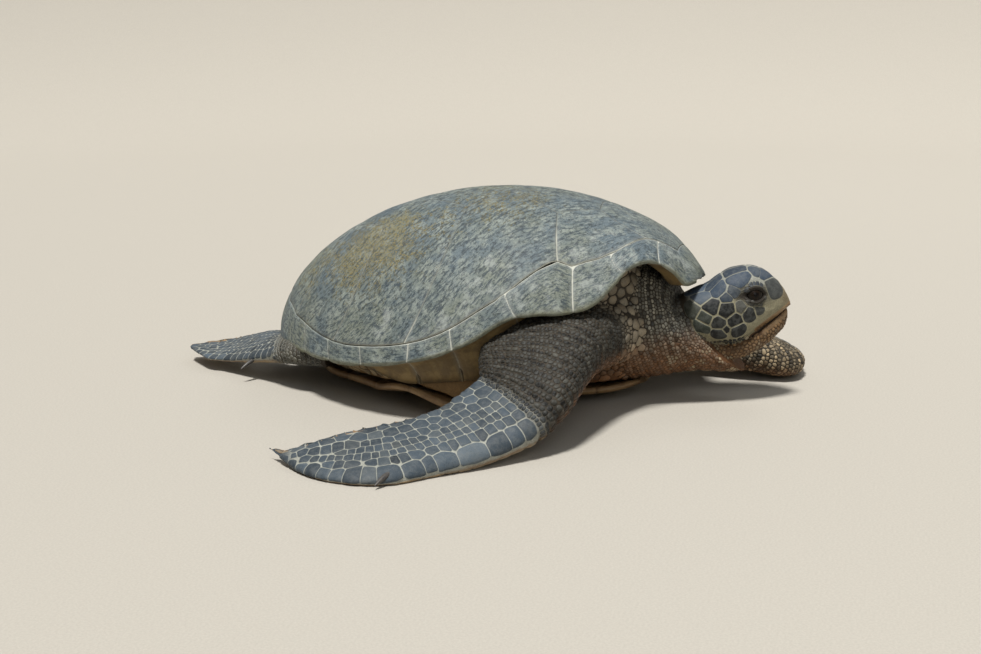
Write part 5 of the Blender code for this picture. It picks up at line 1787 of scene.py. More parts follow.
# ------------------------------------------------------------------ shader maths
class Sock:
    """A shader socket that takes part in ordinary arithmetic."""

    def __init__(self, net: "Net", socket: bpy.types.NodeSocket) -> None:
        """Wraps a node's output."""
        self.net, self.socket = net, socket

    def __add__(self, o: object) -> "Sock":
        """Sum."""
        return self.net.math("ADD", self, o)

    def __radd__(self, o: object) -> "Sock":
        """Sum with a number."""
        return self.net.math("ADD", o, self)

    def __sub__(self, o: object) -> "Sock":
        """Difference."""
        return self.net.math("SUBTRACT", self, o)

    def __rsub__(self, o: object) -> "Sock":
        """Difference from a number."""
        return self.net.math("SUBTRACT", o, self)

    def __mul__(self, o: object) -> "Sock":
        """Product."""
        return self.net.math("MULTIPLY", self, o)

    def __rmul__(self, o: object) -> "Sock":
        """Product with a number."""
        return self.net.math("MULTIPLY", o, self)

    def ramp(self, low: float, high: float) -> "Sock":
        """0 below low, 1 above high, smooth between."""
        return self.net.node("ShaderNodeMapRange", {"interpolation_type": "SMOOTHSTEP"},
                             {0: self, 1: low, 2: high, 3: 0.0, 4: 1.0})


class Net:
    """One material's nodes."""

    def __init__(self, name: str) -> None:
        """Starts a material with one shader."""
        self.material = bpy.data.materials.new(name)
        self.material.use_nodes = True
        self.tree = self.material.node_tree
        self.tree.nodes.clear()
        self.shader = self.tree.nodes.new("ShaderNodeBsdfPrincipled")
        out = self.tree.nodes.new("ShaderNodeOutputMaterial")
        self.tree.links.new(self.shader.outputs[0], out.inputs[0])

    def node(self, kind: str, settings: dict, inputs: dict, output: int | str = 0) -> Sock:
        """Adds a node.

        Args:
            kind: Node type.
            settings: Its properties, set first.
            inputs: Values or sockets by input name or number.
            output: Which output to return.
        Returns:
            The chosen output.
        """
        node = self.tree.nodes.new(kind)
        for key, value in settings.items():
            setattr(node, key, value)
        for key, value in inputs.items():
            self.put(node.inputs[key], value)
        return Sock(self, node.outputs[output])

    def put(self, socket: bpy.types.NodeSocket, value: object) -> None:
        """Links a socket, or sets the value of an input."""
        if isinstance(value, Sock):
            self.tree.links.new(value.socket, socket)
        elif isinstance(value, tuple) and socket.type == "RGBA" and len(value) == 3:
            socket.default_value = (*value, 1.0)
        else:
            socket.default_value = value

    def math(self, op: str, *args: object) -> Sock:
        """One Math node."""
        return self.node("ShaderNodeMath", {"operation": op}, dict(enumerate(args)))

    def mix(self, k: object, a: object, b: object) -> Sock:
        """Mix of two colours."""
        settings = {"data_type": "RGBA", "blend_type": "MIX", "clamp_factor": True}
        return self.node("ShaderNodeMix", settings, {0: k, 6: a, 7: b}, 2)

    def scaled(self, v: Sock, by: tuple) -> Sock:
        """A place stretched along each axis."""
        return self.node("ShaderNodeVectorMath", {"operation": "MULTIPLY"}, {0: v, 1: by})

    def noise(self, v: Sock, scale: float, detail: float = 3.0, rough: float = 0.55) -> Sock:
        """Cloudy noise, about 0.5 on average."""
        return self.node("ShaderNodeTexNoise", {}, {"Vector": v, "Scale": scale, "Detail": detail,
                                                    "Roughness": rough})

    def cells(self, v: Sock, scale: float) -> Sock:
        """Distance to the nearest of scattered points."""
        return self.node("ShaderNodeTexVoronoi", {"feature": "F1"}, {"Vector": v, "Scale": scale})

    def place(self) -> Sock:
        """Where a point of the surface is, in metres."""
        return self.node("ShaderNodeTexCoord", {}, {}, "Object")

    def paint(self, name: str, output: str = "Fac") -> Sock:
        """An attribute painted on the mesh."""
        return self.node("ShaderNodeAttribute", {"attribute_name": name}, {}, output)

    def bump(self, height: Sock, depth: float, strength: float) -> Sock:
        """A normal bent by a height; depth is in metres."""
        return self.node("ShaderNodeBump", {}, {"Height": height, "Distance": depth, "Strength": strength})

    def finish(self, colour: object, rough: object, normal: Sock | None = None,
               **constants: object) -> Material:
        """Feeds the shader.

        Args:
            colour: Base colour.
            rough: Roughness.
            normal: Normal, if bent.
            constants: Plain values of other inputs, by name.
        Returns:
            The material.
        """
        self.put(self.shader.inputs["Base Color"], colour)
        self.put(self.shader.inputs["Roughness"], rough)
        if normal is not None:
            self.put(self.shader.inputs["Normal"], normal)
        for key, value in constants.items():
            self.shader.inputs[key.replace("_", " ")].default_value = value
        return self.material


# ------------------------------------------------------------------ finishes
@dataclass(frozen=True)
class ShellHorn:
    """Weathered grey horn: streaks, growth marks, pale seams, green growth, scratches."""

    slate: tuple = (0.108, 0.142, 0.160)
    olive: tuple = (0.172, 0.192, 0.155)
    bleached: tuple = (0.235, 0.265, 0.240)
    streak: tuple = (0.034, 0.049, 0.063)
    scratch: tuple = (0.36, 0.38, 0.34)
    pit: tuple = (0.030, 0.038, 0.040)
    moss_dark: tuple = (0.150, 0.128, 0.052)
    moss_light: tuple = (0.330, 0.270, 0.110)
    scuffed: tuple = (0.36, 0.39, 0.38)
    rim: tuple = (0.200, 0.190, 0.110)
    under_tan: tuple = (0.215, 0.145, 0.058)
    under_brown: tuple = (0.120, 0.078, 0.032)
    halo: tuple = (0.28, 0.30, 0.29)
    seam: tuple = (0.50, 0.51, 0.45)

    def make(self) -> Material:
        """The material; it reads the seam, pale, rimward, algae and sheet_at paint."""
        n = Net("scute_weathered")
        at, sheet = n.place(), n.paint("sheet_at", "Vector")
        seam, pale, rimward, algae = (n.paint(k) for k in ("seam", "pale", "rimward", "algae"))
        cloud = n.noise(at, 7.0, 4.0, 0.6)
        mid = n.noise(at, 26.0, 5.0, 0.68)
        fine = n.noise(at, 150.0, 5.0, 0.75)
        brush = n.noise(n.scaled(sheet, (7.0, 19.0, 1.0)), 9.0, 6.0, 0.78)
        scratch = n.noise(n.scaled(sheet, (5.0, 44.0, 1.0)), 14.0, 4.0, 0.7)
        base = n.mix(cloud.ramp(0.36, 0.64), self.slate, self.olive)
        base = n.mix(mid.ramp(0.44, 0.62) * 0.75, base, self.bleached)
        base = n.mix(brush.ramp(0.46, 0.58) * 0.88, base, self.streak)
        base = n.mix(scratch.ramp(0.58, 0.68) * 0.55, base, self.scratch)
        base = n.mix(fine.ramp(0.50, 0.64) * 0.75, base, self.pit)
        speck = n.noise(at, 330.0, 4.0, 0.75)
        moss = n.noise(at, 75.0, 7.0, 0.85)
        growth = ((moss - 0.5) * 3.6 + algae * 1.15 + (cloud - 0.5) * 1.4 - 0.60).ramp(0.0, 0.35)
        growth = growth * speck.ramp(0.44, 0.58)
        base = n.mix(growth * 0.85, base, n.mix(speck.ramp(0.50, 0.68), self.moss_dark, self.moss_light))
        scuff = ((mid - 0.5) * 4.0 + pale * 0.9 - 0.85).ramp(0.0, 0.9)
        base = n.mix(scuff * 0.40, base, self.scuffed)
        low = rimward.ramp(0.72, 1.02)
        base = n.mix(low * 0.45, base, self.rim)
        under = rimward.ramp(1.00, 1.10)
        base = n.mix(under * 0.90, base, n.mix(mid.ramp(0.35, 0.6), self.under_tan, self.under_brown))
        wander = (n.noise(at, 120.0, 2.0) - 0.5) * 0.0018
        line = 1.0 - (seam + wander).ramp(0.0008, 0.0020)
        halo = 1.0 - (seam + wander * 3.0).ramp(0.001, 0.010)
        base = n.mix(halo * pale * 0.30, base, self.halo)
        base = n.mix(line * (pale * 0.82 + 0.06) * (1.0 - low * 0.45), base, self.seam)
        rough = 0.52 + mid * 0.16 + growth * 0.14
        h = fine * 0.30 + brush * 0.40 + mid * 0.5 + growth * moss * 0.8 - line * 0.6
        return n.finish(base, rough, n.bump(h, 0.0012, 0.8), Specular_IOR_Level=0.24)


@dataclass(frozen=True)
class BellyHorn:
    """Orange-tan belly horn."""

    brown: tuple = (0.150, 0.086, 0.036)
    tan: tuple = (0.235, 0.150, 0.068)
    pit: tuple = (0.11, 0.060, 0.028)
    seam: tuple = (0.10, 0.055, 0.025)

    def make(self) -> Material:
        """The material; it reads the seam paint."""
        n = Net("plastron_worn")
        at, seam = n.place(), n.paint("seam")
        mid, fine = n.noise(at, 22.0, 4.0, 0.6), n.noise(at, 150.0, 3.0, 0.6)
        base = n.mix(mid.ramp(0.35, 0.68), self.brown, self.tan)
        base = n.mix(fine.ramp(0.5, 0.75) * 0.5, base, self.pit)
        line = 1.0 - seam.ramp(0.0008, 0.0026)
        base = n.mix(line * 0.8, base, self.seam)
        return n.finish(base, 0.42 + mid * 0.2, n.bump(fine * 0.4 + mid * 0.5 - line, 0.001, 0.7))


@dataclass(frozen=True)
class BareHide:
    """Bare hide between the scales: painted tones with a beaded grain, painted shade in the folds and along
    the mouth's slit.
    """

    grain: tuple = (0.02, 0.016, 0.010)
    gap: tuple = (0.01, 0.008, 0.005)
    # Colours of the painted shade in the folds and in the slit between the jaws.
    fold: tuple = (0.018, 0.013, 0.008)
    mouth: tuple = (0.015, 0.010, 0.006)
    lid: tuple = (0.012, 0.009, 0.007)

    def make(self) -> Material:
        """The material; it reads the tone, mouth, gape and deep paint."""
        n = Net("hide_bare")
        at, tone = n.place(), n.paint("tone", "Color")
        mouth, gape, deep = n.paint("mouth"), n.paint("gape"), n.paint("deep")
        mid, fine = n.noise(at, 60.0, 4.0, 0.6), n.noise(at, 420.0, 3.0, 0.6)
        bead = n.cells(at, 420.0)
        base = n.mix(mid.ramp(0.3, 0.7) * 0.35, tone, n.mix(0.6, tone, self.grain))
        base = n.mix(bead.ramp(0.25, 0.8) * 0.45, base, n.mix(0.5, tone, self.gap))
        # Painted shade in the folds, darker the deeper they sink.
        base = n.mix(deep.ramp(0.05, 0.8) * 0.6, base, self.fold)
        # Painted shade along the slit between the jaws.
        line = 1.0 - (mouth * mouth).ramp(0.0000003, 0.0000030)
        base = n.mix(line * 0.9, base, self.mouth)
        margin = 1.0 - gape.ramp(-0.02, 0.10)
        base = n.mix(margin * 0.9, base, self.lid)
        h = (1.0 - bead) * 0.7 + mid * 0.6 + fine * 0.25
        return n.finish(base, 0.55 + mid * 0.2, n.bump(h, 0.0009, 0.85), Specular_IOR_Level=0.25)


@dataclass(frozen=True)
class ScaleHorn:
    """Horny plates: painted middles, paler or darker rims, fine grain; darker rims are painted shade round
    domed beads.
    """

    name: str
    border: tuple
    share: float
    bloom: tuple = (0.19, 0.20, 0.19)
    pit: tuple = (0.010, 0.010, 0.010)
    odd: tuple = (0.24, 0.24, 0.20)

    def make(self) -> Material:
        """The material; it reads the tone, edge and each paint."""
        n = Net(self.name)
        at, tone = n.place(), n.paint("tone", "Color")
        edge, each = n.paint("edge"), n.paint("each")
        mid, fine = n.noise(at, 90.0, 4.0, 0.65), n.noise(at, 520.0, 3.0, 0.6)
        base = n.mix(mid.ramp(0.42, 0.62) * 0.50, tone, n.mix(0.35, tone, self.bloom))
        base = n.mix(fine.ramp(0.48, 0.68) * 0.45, base, n.mix(0.7, tone, self.pit))
        # A rim in the border colour: pale lines between plates; on beads, painted shade round the dome's
        # edge.
        rim = 1.0 - (edge + (mid - 0.5) * 0.0012).ramp(0.0, 0.0010)
        base = n.mix(rim * self.share, base, self.border)
        base = n.mix(each.ramp(0.70, 1.0) * 0.10, base, self.odd)
        return n.finish(base, 0.46 + mid * 0.20, n.bump(mid * 0.7 + fine * 0.3, 0.0006, 0.7),
                        Specular_IOR_Level=0.20)


@dataclass(frozen=True)
class BeakHorn:
    """Tan beak horn with brown streaks."""

    tan: tuple = (0.215, 0.135, 0.064)
    brown: tuple = (0.130, 0.074, 0.036)
    cream: tuple = (0.27, 0.21, 0.115)
    pit: tuple = (0.09, 0.05, 0.025)

    def make(self) -> Material:
        """The material."""
        n = Net("beak_streaked")
        at = n.place()
        mid = n.noise(n.scaled(at, (1.0, 1.0, 2.6)), 70.0, 4.0, 0.65)
        fine = n.noise(at, 480.0, 3.0, 0.6)
        cloud = n.noise(at, 26.0, 3.0)
        base = n.mix(mid.ramp(0.35, 0.7), self.tan, self.brown)
        base = n.mix(cloud.ramp(0.45, 0.65) * 0.5, base, self.cream)
        base = n.mix(fine.ramp(0.5, 0.75) * 0.35, base, self.pit)
        return n.finish(base, 0.40 + mid * 0.15, n.bump(mid * 0.6 + fine * 0.3, 0.0006, 0.6))


@dataclass(frozen=True)
class EyeShine:
    """Dark ball with a dark brown iris round a black pupil, softly shining."""

    iris: tuple = (0.016, 0.010, 0.006)
    fibre: tuple = (0.006, 0.004, 0.003)
    pupil: tuple = (0.004, 0.003, 0.003)
    white: tuple = (0.010, 0.008, 0.006)

    def make(self) -> Material:
        """The material; it reads the iris paint, the distance from the pupil's middle."""
        n = Net("eye_wet")
        at = n.place()
        r = n.paint("iris")
        fibre = n.noise(at, 900.0, 3.0, 0.6)
        iris = n.mix(fibre.ramp(0.35, 0.65), self.fibre, self.iris)
        base = n.mix(r.ramp(0.0046, 0.0052), self.pupil, iris)
        base = n.mix(r.ramp(0.0092, 0.0106), base, self.white)
        return n.finish(base, 0.25, None, Specular_IOR_Level=0.10, Coat_Weight=0.06, Coat_Roughness=0.04)


@dataclass(frozen=True)
class ClawHorn:
    """Worn grey claw horn."""

    pale: tuple = (0.070, 0.064, 0.056)
    dark: tuple = (0.034, 0.032, 0.032)

    def make(self) -> Material:
        """The material."""
        n = Net("claw_horn_worn")
        at = n.place()
        mid = n.noise(at, 240.0, 4.0, 0.6)
        base = n.mix(mid.ramp(0.3, 0.7), self.pale, self.dark)
        return n.finish(base, 0.35 + mid * 0.2, n.bump(mid, 0.0004, 0.6))


@dataclass(frozen=True)
class StudioFloor:
    """Matt pale floor, running lighter up the backdrop."""

    low: tuple = (0.375, 0.357, 0.318)
    high: tuple = (0.412, 0.392, 0.350)
    wall: tuple = (0.50, 0.48, 0.44)

    def make(self) -> Material:
        """The material."""
        n = Net("studio_floor")
        at = n.place()
        grain = n.noise(at, 260.0, 3.0, 0.6)
        base = n.mix(grain.ramp(0.3, 0.7), self.low, self.high)
        tall = n.node("ShaderNodeSeparateXYZ", {}, {0: at}, 2)
        base = n.mix(tall.ramp(0.3, 3.0), base, self.wall)
        return n.finish(base, 0.9, n.bump(grain, 0.0004, 0.3), Specular_IOR_Level=0.1)


# ------------------------------------------------------------------ eyes, claws, beak
@dataclass
class Eyeball:
    """A ball set in the lids, with a slight bulge at its front."""

    eye: Eyes
    label: str
    sunk: float = 0.0002
    bulge: float = 0.0006

    def build(self, material: Material) -> bpy.types.Object:
        """The ball, painted with the distance from the pupil's middle."""
        e, ph = self.eye, turn(96)
        loops = np.array([e.place(np.full(96, t), ph, np.full(96, HEAD.EYE_R - self.sunk)
                                  + self.bulge * math.exp(-(t / 0.28)**2))
                          for t in np.linspace(0, math.pi, 49)[1:-1]])
        solid = tube(loops)
        turned_out(solid, e.centre)
        front = e.centre + e.look * HEAD.EYE_R
        solid.paint = {"iris": np.linalg.norm(solid.verts - front, axis=1)}
        return dress("eyeball_" + self.label, solid, material, "eye", "eye_" + self.label)


@dataclass
class Claw:
    """A short blunt claw at a flipper's edge."""

    node: str
    base: tuple
    tip: tuple
    radius: float

    def build(self, material: Material) -> bpy.types.Object:
        """The claw, bent down a little and ribbed round."""
        axis = np.array(self.tip) - self.base
        side = unit(np.cross(axis, [0, 0, 1.0]))
        up = unit(np.cross(side, axis))
        ang = turn(28)
        loops = []
        for t in np.linspace(-0.25, 1, 26):
            r = self.radius * (1 - max(t, 0)**2.2 * 0.92) * (1 + 0.03 * math.sin(t * 60))
            c = self.base + axis * t - np.array([0, 0, 1.0]) * self.radius * 0.5 * max(t, 0)**2
            loops.append(c + r * (np.outer(np.cos(ang), side) + np.outer(np.sin(ang) * 0.85, up)))
        loops = np.array(loops)
        loops[..., 2] = np.maximum(loops[..., 2], 0.0005)
        return dress(self.node + "_horn", tube(loops), material, "claw_horn", self.node)


@dataclass
class Beak:
    """The horny sheaths of both jaws, laid over the skin along the mouth."""

    thick: float = 0.0008
    sunk: float = 0.0006
    LOW = 0.0125

    def build(self, hide: Hide, material: Material) -> bpy.types.Object:
        """The sheaths, thinning out into the skin at their edges."""
        ahead = HEAD.local(hide.solid.verts)[:, 0]
        mouth = hide.solid.paint["mouth"]
        upper = smooth(mouth, 0.0004, 0.0014) * (1 - smooth(mouth, 0.0085, 0.0110)) \
            * smooth(ahead, 0.112, 0.122) * (hide.part == Part.HEAD)
        lower = smooth(-mouth, 0.0006, 0.0016) * smooth(ahead, 0.126, 0.134) \
            * (hide.part == Part.JAW) * (1 - smooth(-mouth, self.LOW - 0.002, self.LOW))
        mask = np.maximum(upper, lower)
        f = hide.solid.faces
        used, keep = np.unique(f[(mask[f] > 0.02).any(1)], return_inverse=True)
        lift = (-self.sunk + (self.thick + self.sunk) * mask[used])[:, None]
        solid = Solid(hide.solid.verts[used] + hide.normal[used] * lift, keep.reshape(-1, 3))
        return dress("beak_sheath", solid, material, "beak_horn")


# ------------------------------------------------------------------ coat layout
@dataclass(frozen=True)
class HeadPlate:
    """A named plate of the head: where it lies on the side of the skull and how big it is."""

    along: float
    up: float
    size: float


HEAD_PLATES = {
    "frontal": HeadPlate(0.142, 0.088, 0.0120), "frontoparietal": HeadPlate(0.098, 0.090, 0.0190),
    "parietal": HeadPlate(0.052, 0.080, 0.0220), "prefrontal": HeadPlate(0.170, 0.034, 0.0180),
    "prefrontal_high": HeadPlate(0.158, 0.062, 0.0150), "supraocular": HeadPlate(0.1062, 0.0608, 0.0210),
    "temporal_high": HeadPlate(0.0642, 0.0499, 0.0160), "nape": HeadPlate(0.0323, 0.0586, 0.0220),
    "nape_low": HeadPlate(0.0325, 0.0407, 0.0165), "postocular_high": HeadPlate(0.0919, 0.0400, 0.0100),
    "postocular": HeadPlate(0.0954, 0.0194, 0.0110), "postocular_low": HeadPlate(0.1021, 0.0041, 0.0100),
    "subocular": HeadPlate(0.1149, -0.0105, 0.0120), "temple": HeadPlate(0.0776, 0.0292, 0.0085),
    "cheek_rear_high": HeadPlate(0.0455, 0.0181, 0.0150), "cheek_mid": HeadPlate(0.0743, 0.0041, 0.0140),
    "cheek_rear": HeadPlate(0.0297, -0.0004, 0.0115), "cheek_low_rear": HeadPlate(0.0558, -0.0178, 0.0115),
    "cheek_low": HeadPlate(0.0855, -0.0182, 0.0125), "cheek_seed": HeadPlate(0.0666, -0.0320, 0.0060),
    "jowl_front": HeadPlate(0.0890, -0.0388, 0.0120), "jowl": HeadPlate(0.0513, -0.0387, 0.0115),
    "ear": HeadPlate(0.0082, 0.0201, 0.0150), "ear_low": HeadPlate(0.0158, -0.0192, 0.0150),
    "lore": HeadPlate(0.1540, 0.0135, 0.0115), "lore_low": HeadPlate(0.1350, -0.0060, 0.0085),
}


@dataclass
class CoatPlan:
    """Which scales grow where."""

    s: Sower
    midline: float = 0.019
    crown_up: float = 0.078

    def head(self) -> Roots:
        """Named plates in pairs, then small scales round them."""
        at, size = [], []
        for plate in HEAD_PLATES.values():
            for side in (1, -1):
                aim = HEAD.right * 0.972 * side + HEAD.up * 0.2285 - HEAD.ahead * 0.06
                start = HEAD.point(plate.along, 0.0, plate.up) + aim * 0.3
                hit = self.s.hide.bvh.ray_cast(Vector(start), Vector(-aim))
                if hit[0] is None or plate.up > self.crown_up:
                    top = HEAD.point(plate.along, side * self.midline, 0.2)
                    hit = self.s.hide.bvh.ray_cast(Vector(top), Vector(-HEAD.up))
                at.append(np.array(hit[0]))
                size.append(plate.size)
        k = len(at)
        plates = Roots(np.array(at), np.array(size), np.full(k, 0.0007), np.full(k, 0.020),
                       np.full(k, Roots.NAMED))
        lids = []
        for eye in EYES:
            for row, (off, many) in enumerate(((0.34, 15), (0.56, 18))):
                phi = (np.arange(many) + 0.5 * row) * 2 * math.pi / many
                lids.append(eye.place(eye.open_at(phi) + off, phi, np.full(many, HEAD.EYE_R + 0.003)))
        return Roots.join([plates, self.s.made(np.concatenate(lids), 0.0042, 0.0005, 0.10, Roots.RIM)])

    def arm(self, part: Part) -> list[Roots]:
        """Pebbles to the elbow, then lanes of plates on both faces of the flipper."""
        s = self.s
        out = [s.rings(part, 0.06, 0.43, 0.0084, 0.0082, 0.0007, 0.15, Roots.PEBBLE, 0.15)]
        for x, gap, size, rank in ((0.095, 0.027, 0.0190, Roots.RIM), (0.27, 0.018, 0.0115, 5),
                                   (0.40, 0.015, 0.0095, 4), (0.52, 0.015, 0.0095, 4),
                                   (0.65, 0.021, 0.0130, 6), (0.79, 0.026, 0.0160, 7),
                                   (0.93, 0.025, 0.0140, Roots.RIM)):
            out.append(s.lane(part, x, True, gap, size, 0.0009, 0.055, rank))
        for x, gap, size, rank in ((0.10, 0.026, 0.018, 5), (0.30, 0.022, 0.0150, 4),
                                   (0.50, 0.021, 0.0140, 4), (0.70, 0.022, 0.0150, 4),
                                   (0.90, 0.026, 0.0160, 5)):
            out.append(s.lane(part, x, False, gap, size, 0.0008, 0.045, rank))
        return out

    def leg(self, part: Part) -> list[Roots]:
        """Pebbles on the thigh, then lanes of plates on both faces of the flipper."""
        s = self.s
        out = [s.rings(part, 0.05, 0.34, 0.010, 0.009, 0.0006, 0.10, Roots.PEBBLE)]
        for x, gap, size in ((0.08, 0.020, 0.0125), (0.22, 0.016, 0.0095), (0.36, 0.014, 0.0085),
                             (0.50, 0.014, 0.0085), (0.64, 0.014, 0.0085), (0.79, 0.017, 0.0100),
                             (0.93, 0.018, 0.0110)):
            out.append(s.lane(part, x, True, gap, size, 0.0008, 0.05, 5, 0.33))
            out.append(s.lane(part, x, False, gap, size, 0.0007, 0.04, 4, 0.33))
        return out

    def body(self) -> tuple[list[Roots], list[Roots]]:
        """Neck and throat, then the slack skin under the shell's edge."""
        s, hide = self.s, self.s.hide
        loc = HEAD.local(hide.solid.verts)
        neck = [s.rings(Part.NECK, 0.24, 0.97, 0.0062, 0.0058, 0.0004, 0.14, 2, 0.30)]
        high, rear = hide.solid.verts[:, 2] > 0.115, hide.solid.verts[:, 1] > 0.10
        jaw = (hide.part == Part.JAW) & ~((loc[:, 0] > 0.122) & (hide.solid.paint["mouth"] > -Beak.LOW))
        neck.append(s.scatter(jaw, 0.0034, 0.0008, 0.12, 3))
        low_head = (hide.part == Part.HEAD) & (loc[:, 0] < 0.10) & (loc[:, 2] < -0.042)
        neck.append(s.scatter(low_head, 0.0034, 0.0005, 0.08, 1))
        trunk = hide.part == Part.TRUNK
        root = (np.isin(hide.part, ARMS) & (hide.t < 0.08)) | ((hide.part == Part.NECK) & (hide.t < 0.26))
        front = (trunk & (hide.solid.verts[:, 1] < -0.05)) | root
        slack = [s.scatter(front & high, 0.0112, 0.0016, 0.30, Roots.SHOULDER),
                 s.scatter(front & ~high, 0.0070, 0.0010, 0.24, 3),
                 s.scatter(trunk & rear, 0.0070, 0.0008, 0.10, 2),
                 s.rings(Part.TAIL, 0.1, 0.96, 0.010, 0.009, 0.0006, 0.08, 3)]
        return neck, slack


class Turtle:
    """The whole animal, dressed."""

    FLESH = ("trunk", "head", "lower_jaw", "neck", "upper_arm_right", "upper_arm_left",
             "front_flipper_right", "front_flipper_left", "thigh_right", "thigh_left",
             "rear_flipper_right", "rear_flipper_left", "tail")
    # Least height of a scale over the floor.
    LOWEST = 0.0002

    def build(self) -> None:
        """Shell, skin, beak, scales, eyes and claws."""
        self.shell()
        parts = Body(SHELL).parts()
        skin = Skin(parts)
        hide = skin.build()
        LOG.info("skin: %d triangles", len(hide.solid.faces))
        dress("skin", hide.solid, BareHide().make(), "skin", *self.FLESH)
        Beak().build(hide, BeakHorn().make())
        self.coat(parts, skin, hide)
        shine, horn = EyeShine().make(), ClawHorn().make()
        for eye, label in zip(EYES, ("right", "left")):
            Eyeball(eye, label).build(shine)
        for claw in CLAWS:
            claw.build(horn)

    @staticmethod
    def shell() -> None:
        """The scutes of the dome, the rim and the belly plate."""
        horn, scutes = ShellHorn().make(), Scutes(SHELL)
        for name, ring in SHELL.outlines(4).items():
            dress(name + "_horn", scutes.build(name, ring), horn, "scute_horn", name)
        for side, label in ((1, "left"), (-1, "right")):
            name = "marginals_" + label
            dress(name + "_horn", MarginalRing(SHELL, side).build(), horn, "scute_horn", name)
        dress("plastron_horn", Plastron(SHELL).build(), BellyHorn().make(), "plastron_horn", "plastron")

    def coat(self, parts: list[Flesh], skin: Skin, hide: Hide) -> None:
        """Lays out and meshes the scales.

        Args:
            parts: The flesh.
            skin: What tells the part of each point.
            hide: The finished skin.
        """
        coat, plan = Coat(hide, skin), CoatPlan(Sower(parts, hide, 5))
        neck, slack = plan.body()
        limbs = [Roots.join(plan.arm(p)) for p in ARMS]
        limbs.append(Roots.join([r for p in LEGS for r in plan.leg(p)]))
        roots = Roots.join([plan.head(), *limbs, *neck, *slack])
        roots = coat.settle(self.clear_of_eyes(roots))
        part, along, _ = skin.where(roots.at)
        shown = ~((part == Part.TRUNK) & skin.hidden(roots.at))
        roots, part, along = roots.pick(shown), part[shown], along[shown]
        coat.gather(roots)
        blade = (along > 0.2) & (roots.rank != Roots.PEBBLE)
        named = roots.rank == Roots.NAMED
        shoulder = (roots.rank == Roots.SHOULDER) & (part == Part.NECK)
        stone = ScaleHorn("scales_slate", (0.34, 0.35, 0.31), 0.55).make()
        face = ScaleHorn("scales_face", (0.34, 0.33, 0.25), 0.55).make()
        # Beads with dark rims: painted shade round the edge of each dome.
        bead = ScaleHorn("scales_bead", (0.016, 0.014, 0.011), 0.75).make()
        cheek = 1 - smooth(HEAD.local(roots.at)[:, 2], *HEAD.CROWN)
        gutter = np.where(named, -0.0010 + 0.0028 * cheek, 0.0)
        small_face = ((part == Part.HEAD) & (roots.rank < Roots.NAMED)) | (part == Part.JAW)
        ranges = [("head", (part == Part.HEAD) & named, 40, face, 0.0),
                  ("cheek", small_face, 9, bead, 0.0006),
                  ("neck", (part == Part.NECK) & ~shoulder, 9, bead, 0.0006),
                  ("flank", (part == Part.TRUNK) | shoulder, 14, bead, 0.0016)]
        sides = ((Part.ARM_RIGHT, "right"), (Part.ARM_LEFT, "left"))
        ranges += [("arm_" + side, (part == arm) & ~blade, 12, bead, 0.0011) for arm, side in sides]
        ranges += [("flipper_" + side, (part == arm) & blade, 26, stone, 0.0008) for arm, side in sides]
        ranges.append(("rear", part > Part.ARM_LEFT, 16, stone, 0.0008))
        for name, mask, around, material, border in ranges:
            if not mask.any():
                continue
            solid, uv = coat.build(roots.pick(mask), around, gutter[mask] + border)
            solid.verts[:, 2] = np.maximum(solid.verts[:, 2], self.LOWEST)
            dress("scales_" + name, solid, material, "skin", uv=uv)
            LOG.info("scales_%s: %d scales, %d triangles", name, int(mask.sum()), len(solid.faces))

    @staticmethod
    def clear_of_eyes(roots: Roots) -> Roots:
        """Keeps scales off the lids and the beak."""
        keep = np.ones(len(roots.at), bool)
        room = np.where(roots.size < 0.006, 0.22, 0.36)
        for eye in EYES:
            theta, phi, rho = eye.polar(roots.at)
            keep &= ~((rho < 0.045) & (theta - eye.open_at(phi) < room))
        loc = HEAD.local(roots.at)
        up = loc[:, 2] - curve(np.clip(loc[:, 0], -0.02, 0.197), HEAD_LOW)
        side = np.abs(loc[:, 1]) < 0.08
        keep &= ~((loc[:, 0] > 0.112) & (up < 0.011) & (up > -0.002) & side)
        keep &= ~((loc[:, 0] > 0.085) & (np.abs(up) < 0.003) & side)
        return roots.pick(keep)


CLAWS = (Claw("claw_front_right", (-0.672, 0.012, 0.016), (-0.702, 0.022, 0.010), 0.0055),
         Claw("claw_front_left", (0.505, -0.405, 0.016), (0.533, -0.412, 0.010), 0.0055),
         Claw("claw_rear_right", (-0.098, 0.495, 0.040), (-0.122, 0.508, 0.031), 0.0045),
         Claw("claw_rear_left", (0.208, 0.520, 0.025), (0.232, 0.530, 0.016), 0.0045))


# ------------------------------------------------------------------ studio
@dataclass(frozen=True)
class CameraSizes:
    """Where the camera stands and its lens."""

    azimuth: float = -75.122
    elevation: float = 13.053
    roll: float = -0.210
    lens: float = 59.935
    place: tuple = (-3.1203, -0.8186, 0.8664)


@dataclass(frozen=True)
class Lamp:
    """A lamp that points at the animal; angles in degrees, azimuth 0 in front."""

    name: str
    azimuth: float
    elevation: float
    far: float
    size: float
    power: float
    colour: tuple
    kind: str = "AREA"

    def build(self) -> None:
        """Adds the lamp; a sun's size is the angle that it fills, another's its diameter."""
        data = bpy.data.lights.new(self.name, self.kind)
        data.energy, data.color = self.power, self.colour
        if self.kind == "SUN":
            data.angle = self.size
        else:
            data.shape, data.size = "DISK", self.size
        obj = bpy.data.objects.new(self.name, data)
        a, e = math.radians(self.azimuth), math.radians(self.elevation)
        back = Vector((math.sin(a) * math.cos(e), -math.cos(a) * math.cos(e), math.sin(e)))
        obj.location = back * self.far + Vector((0, 0, 0.15))
        obj.rotation_euler = back.to_track_quat("Z", "Y").to_euler()
        bpy.context.scene.collection.objects.link(obj)


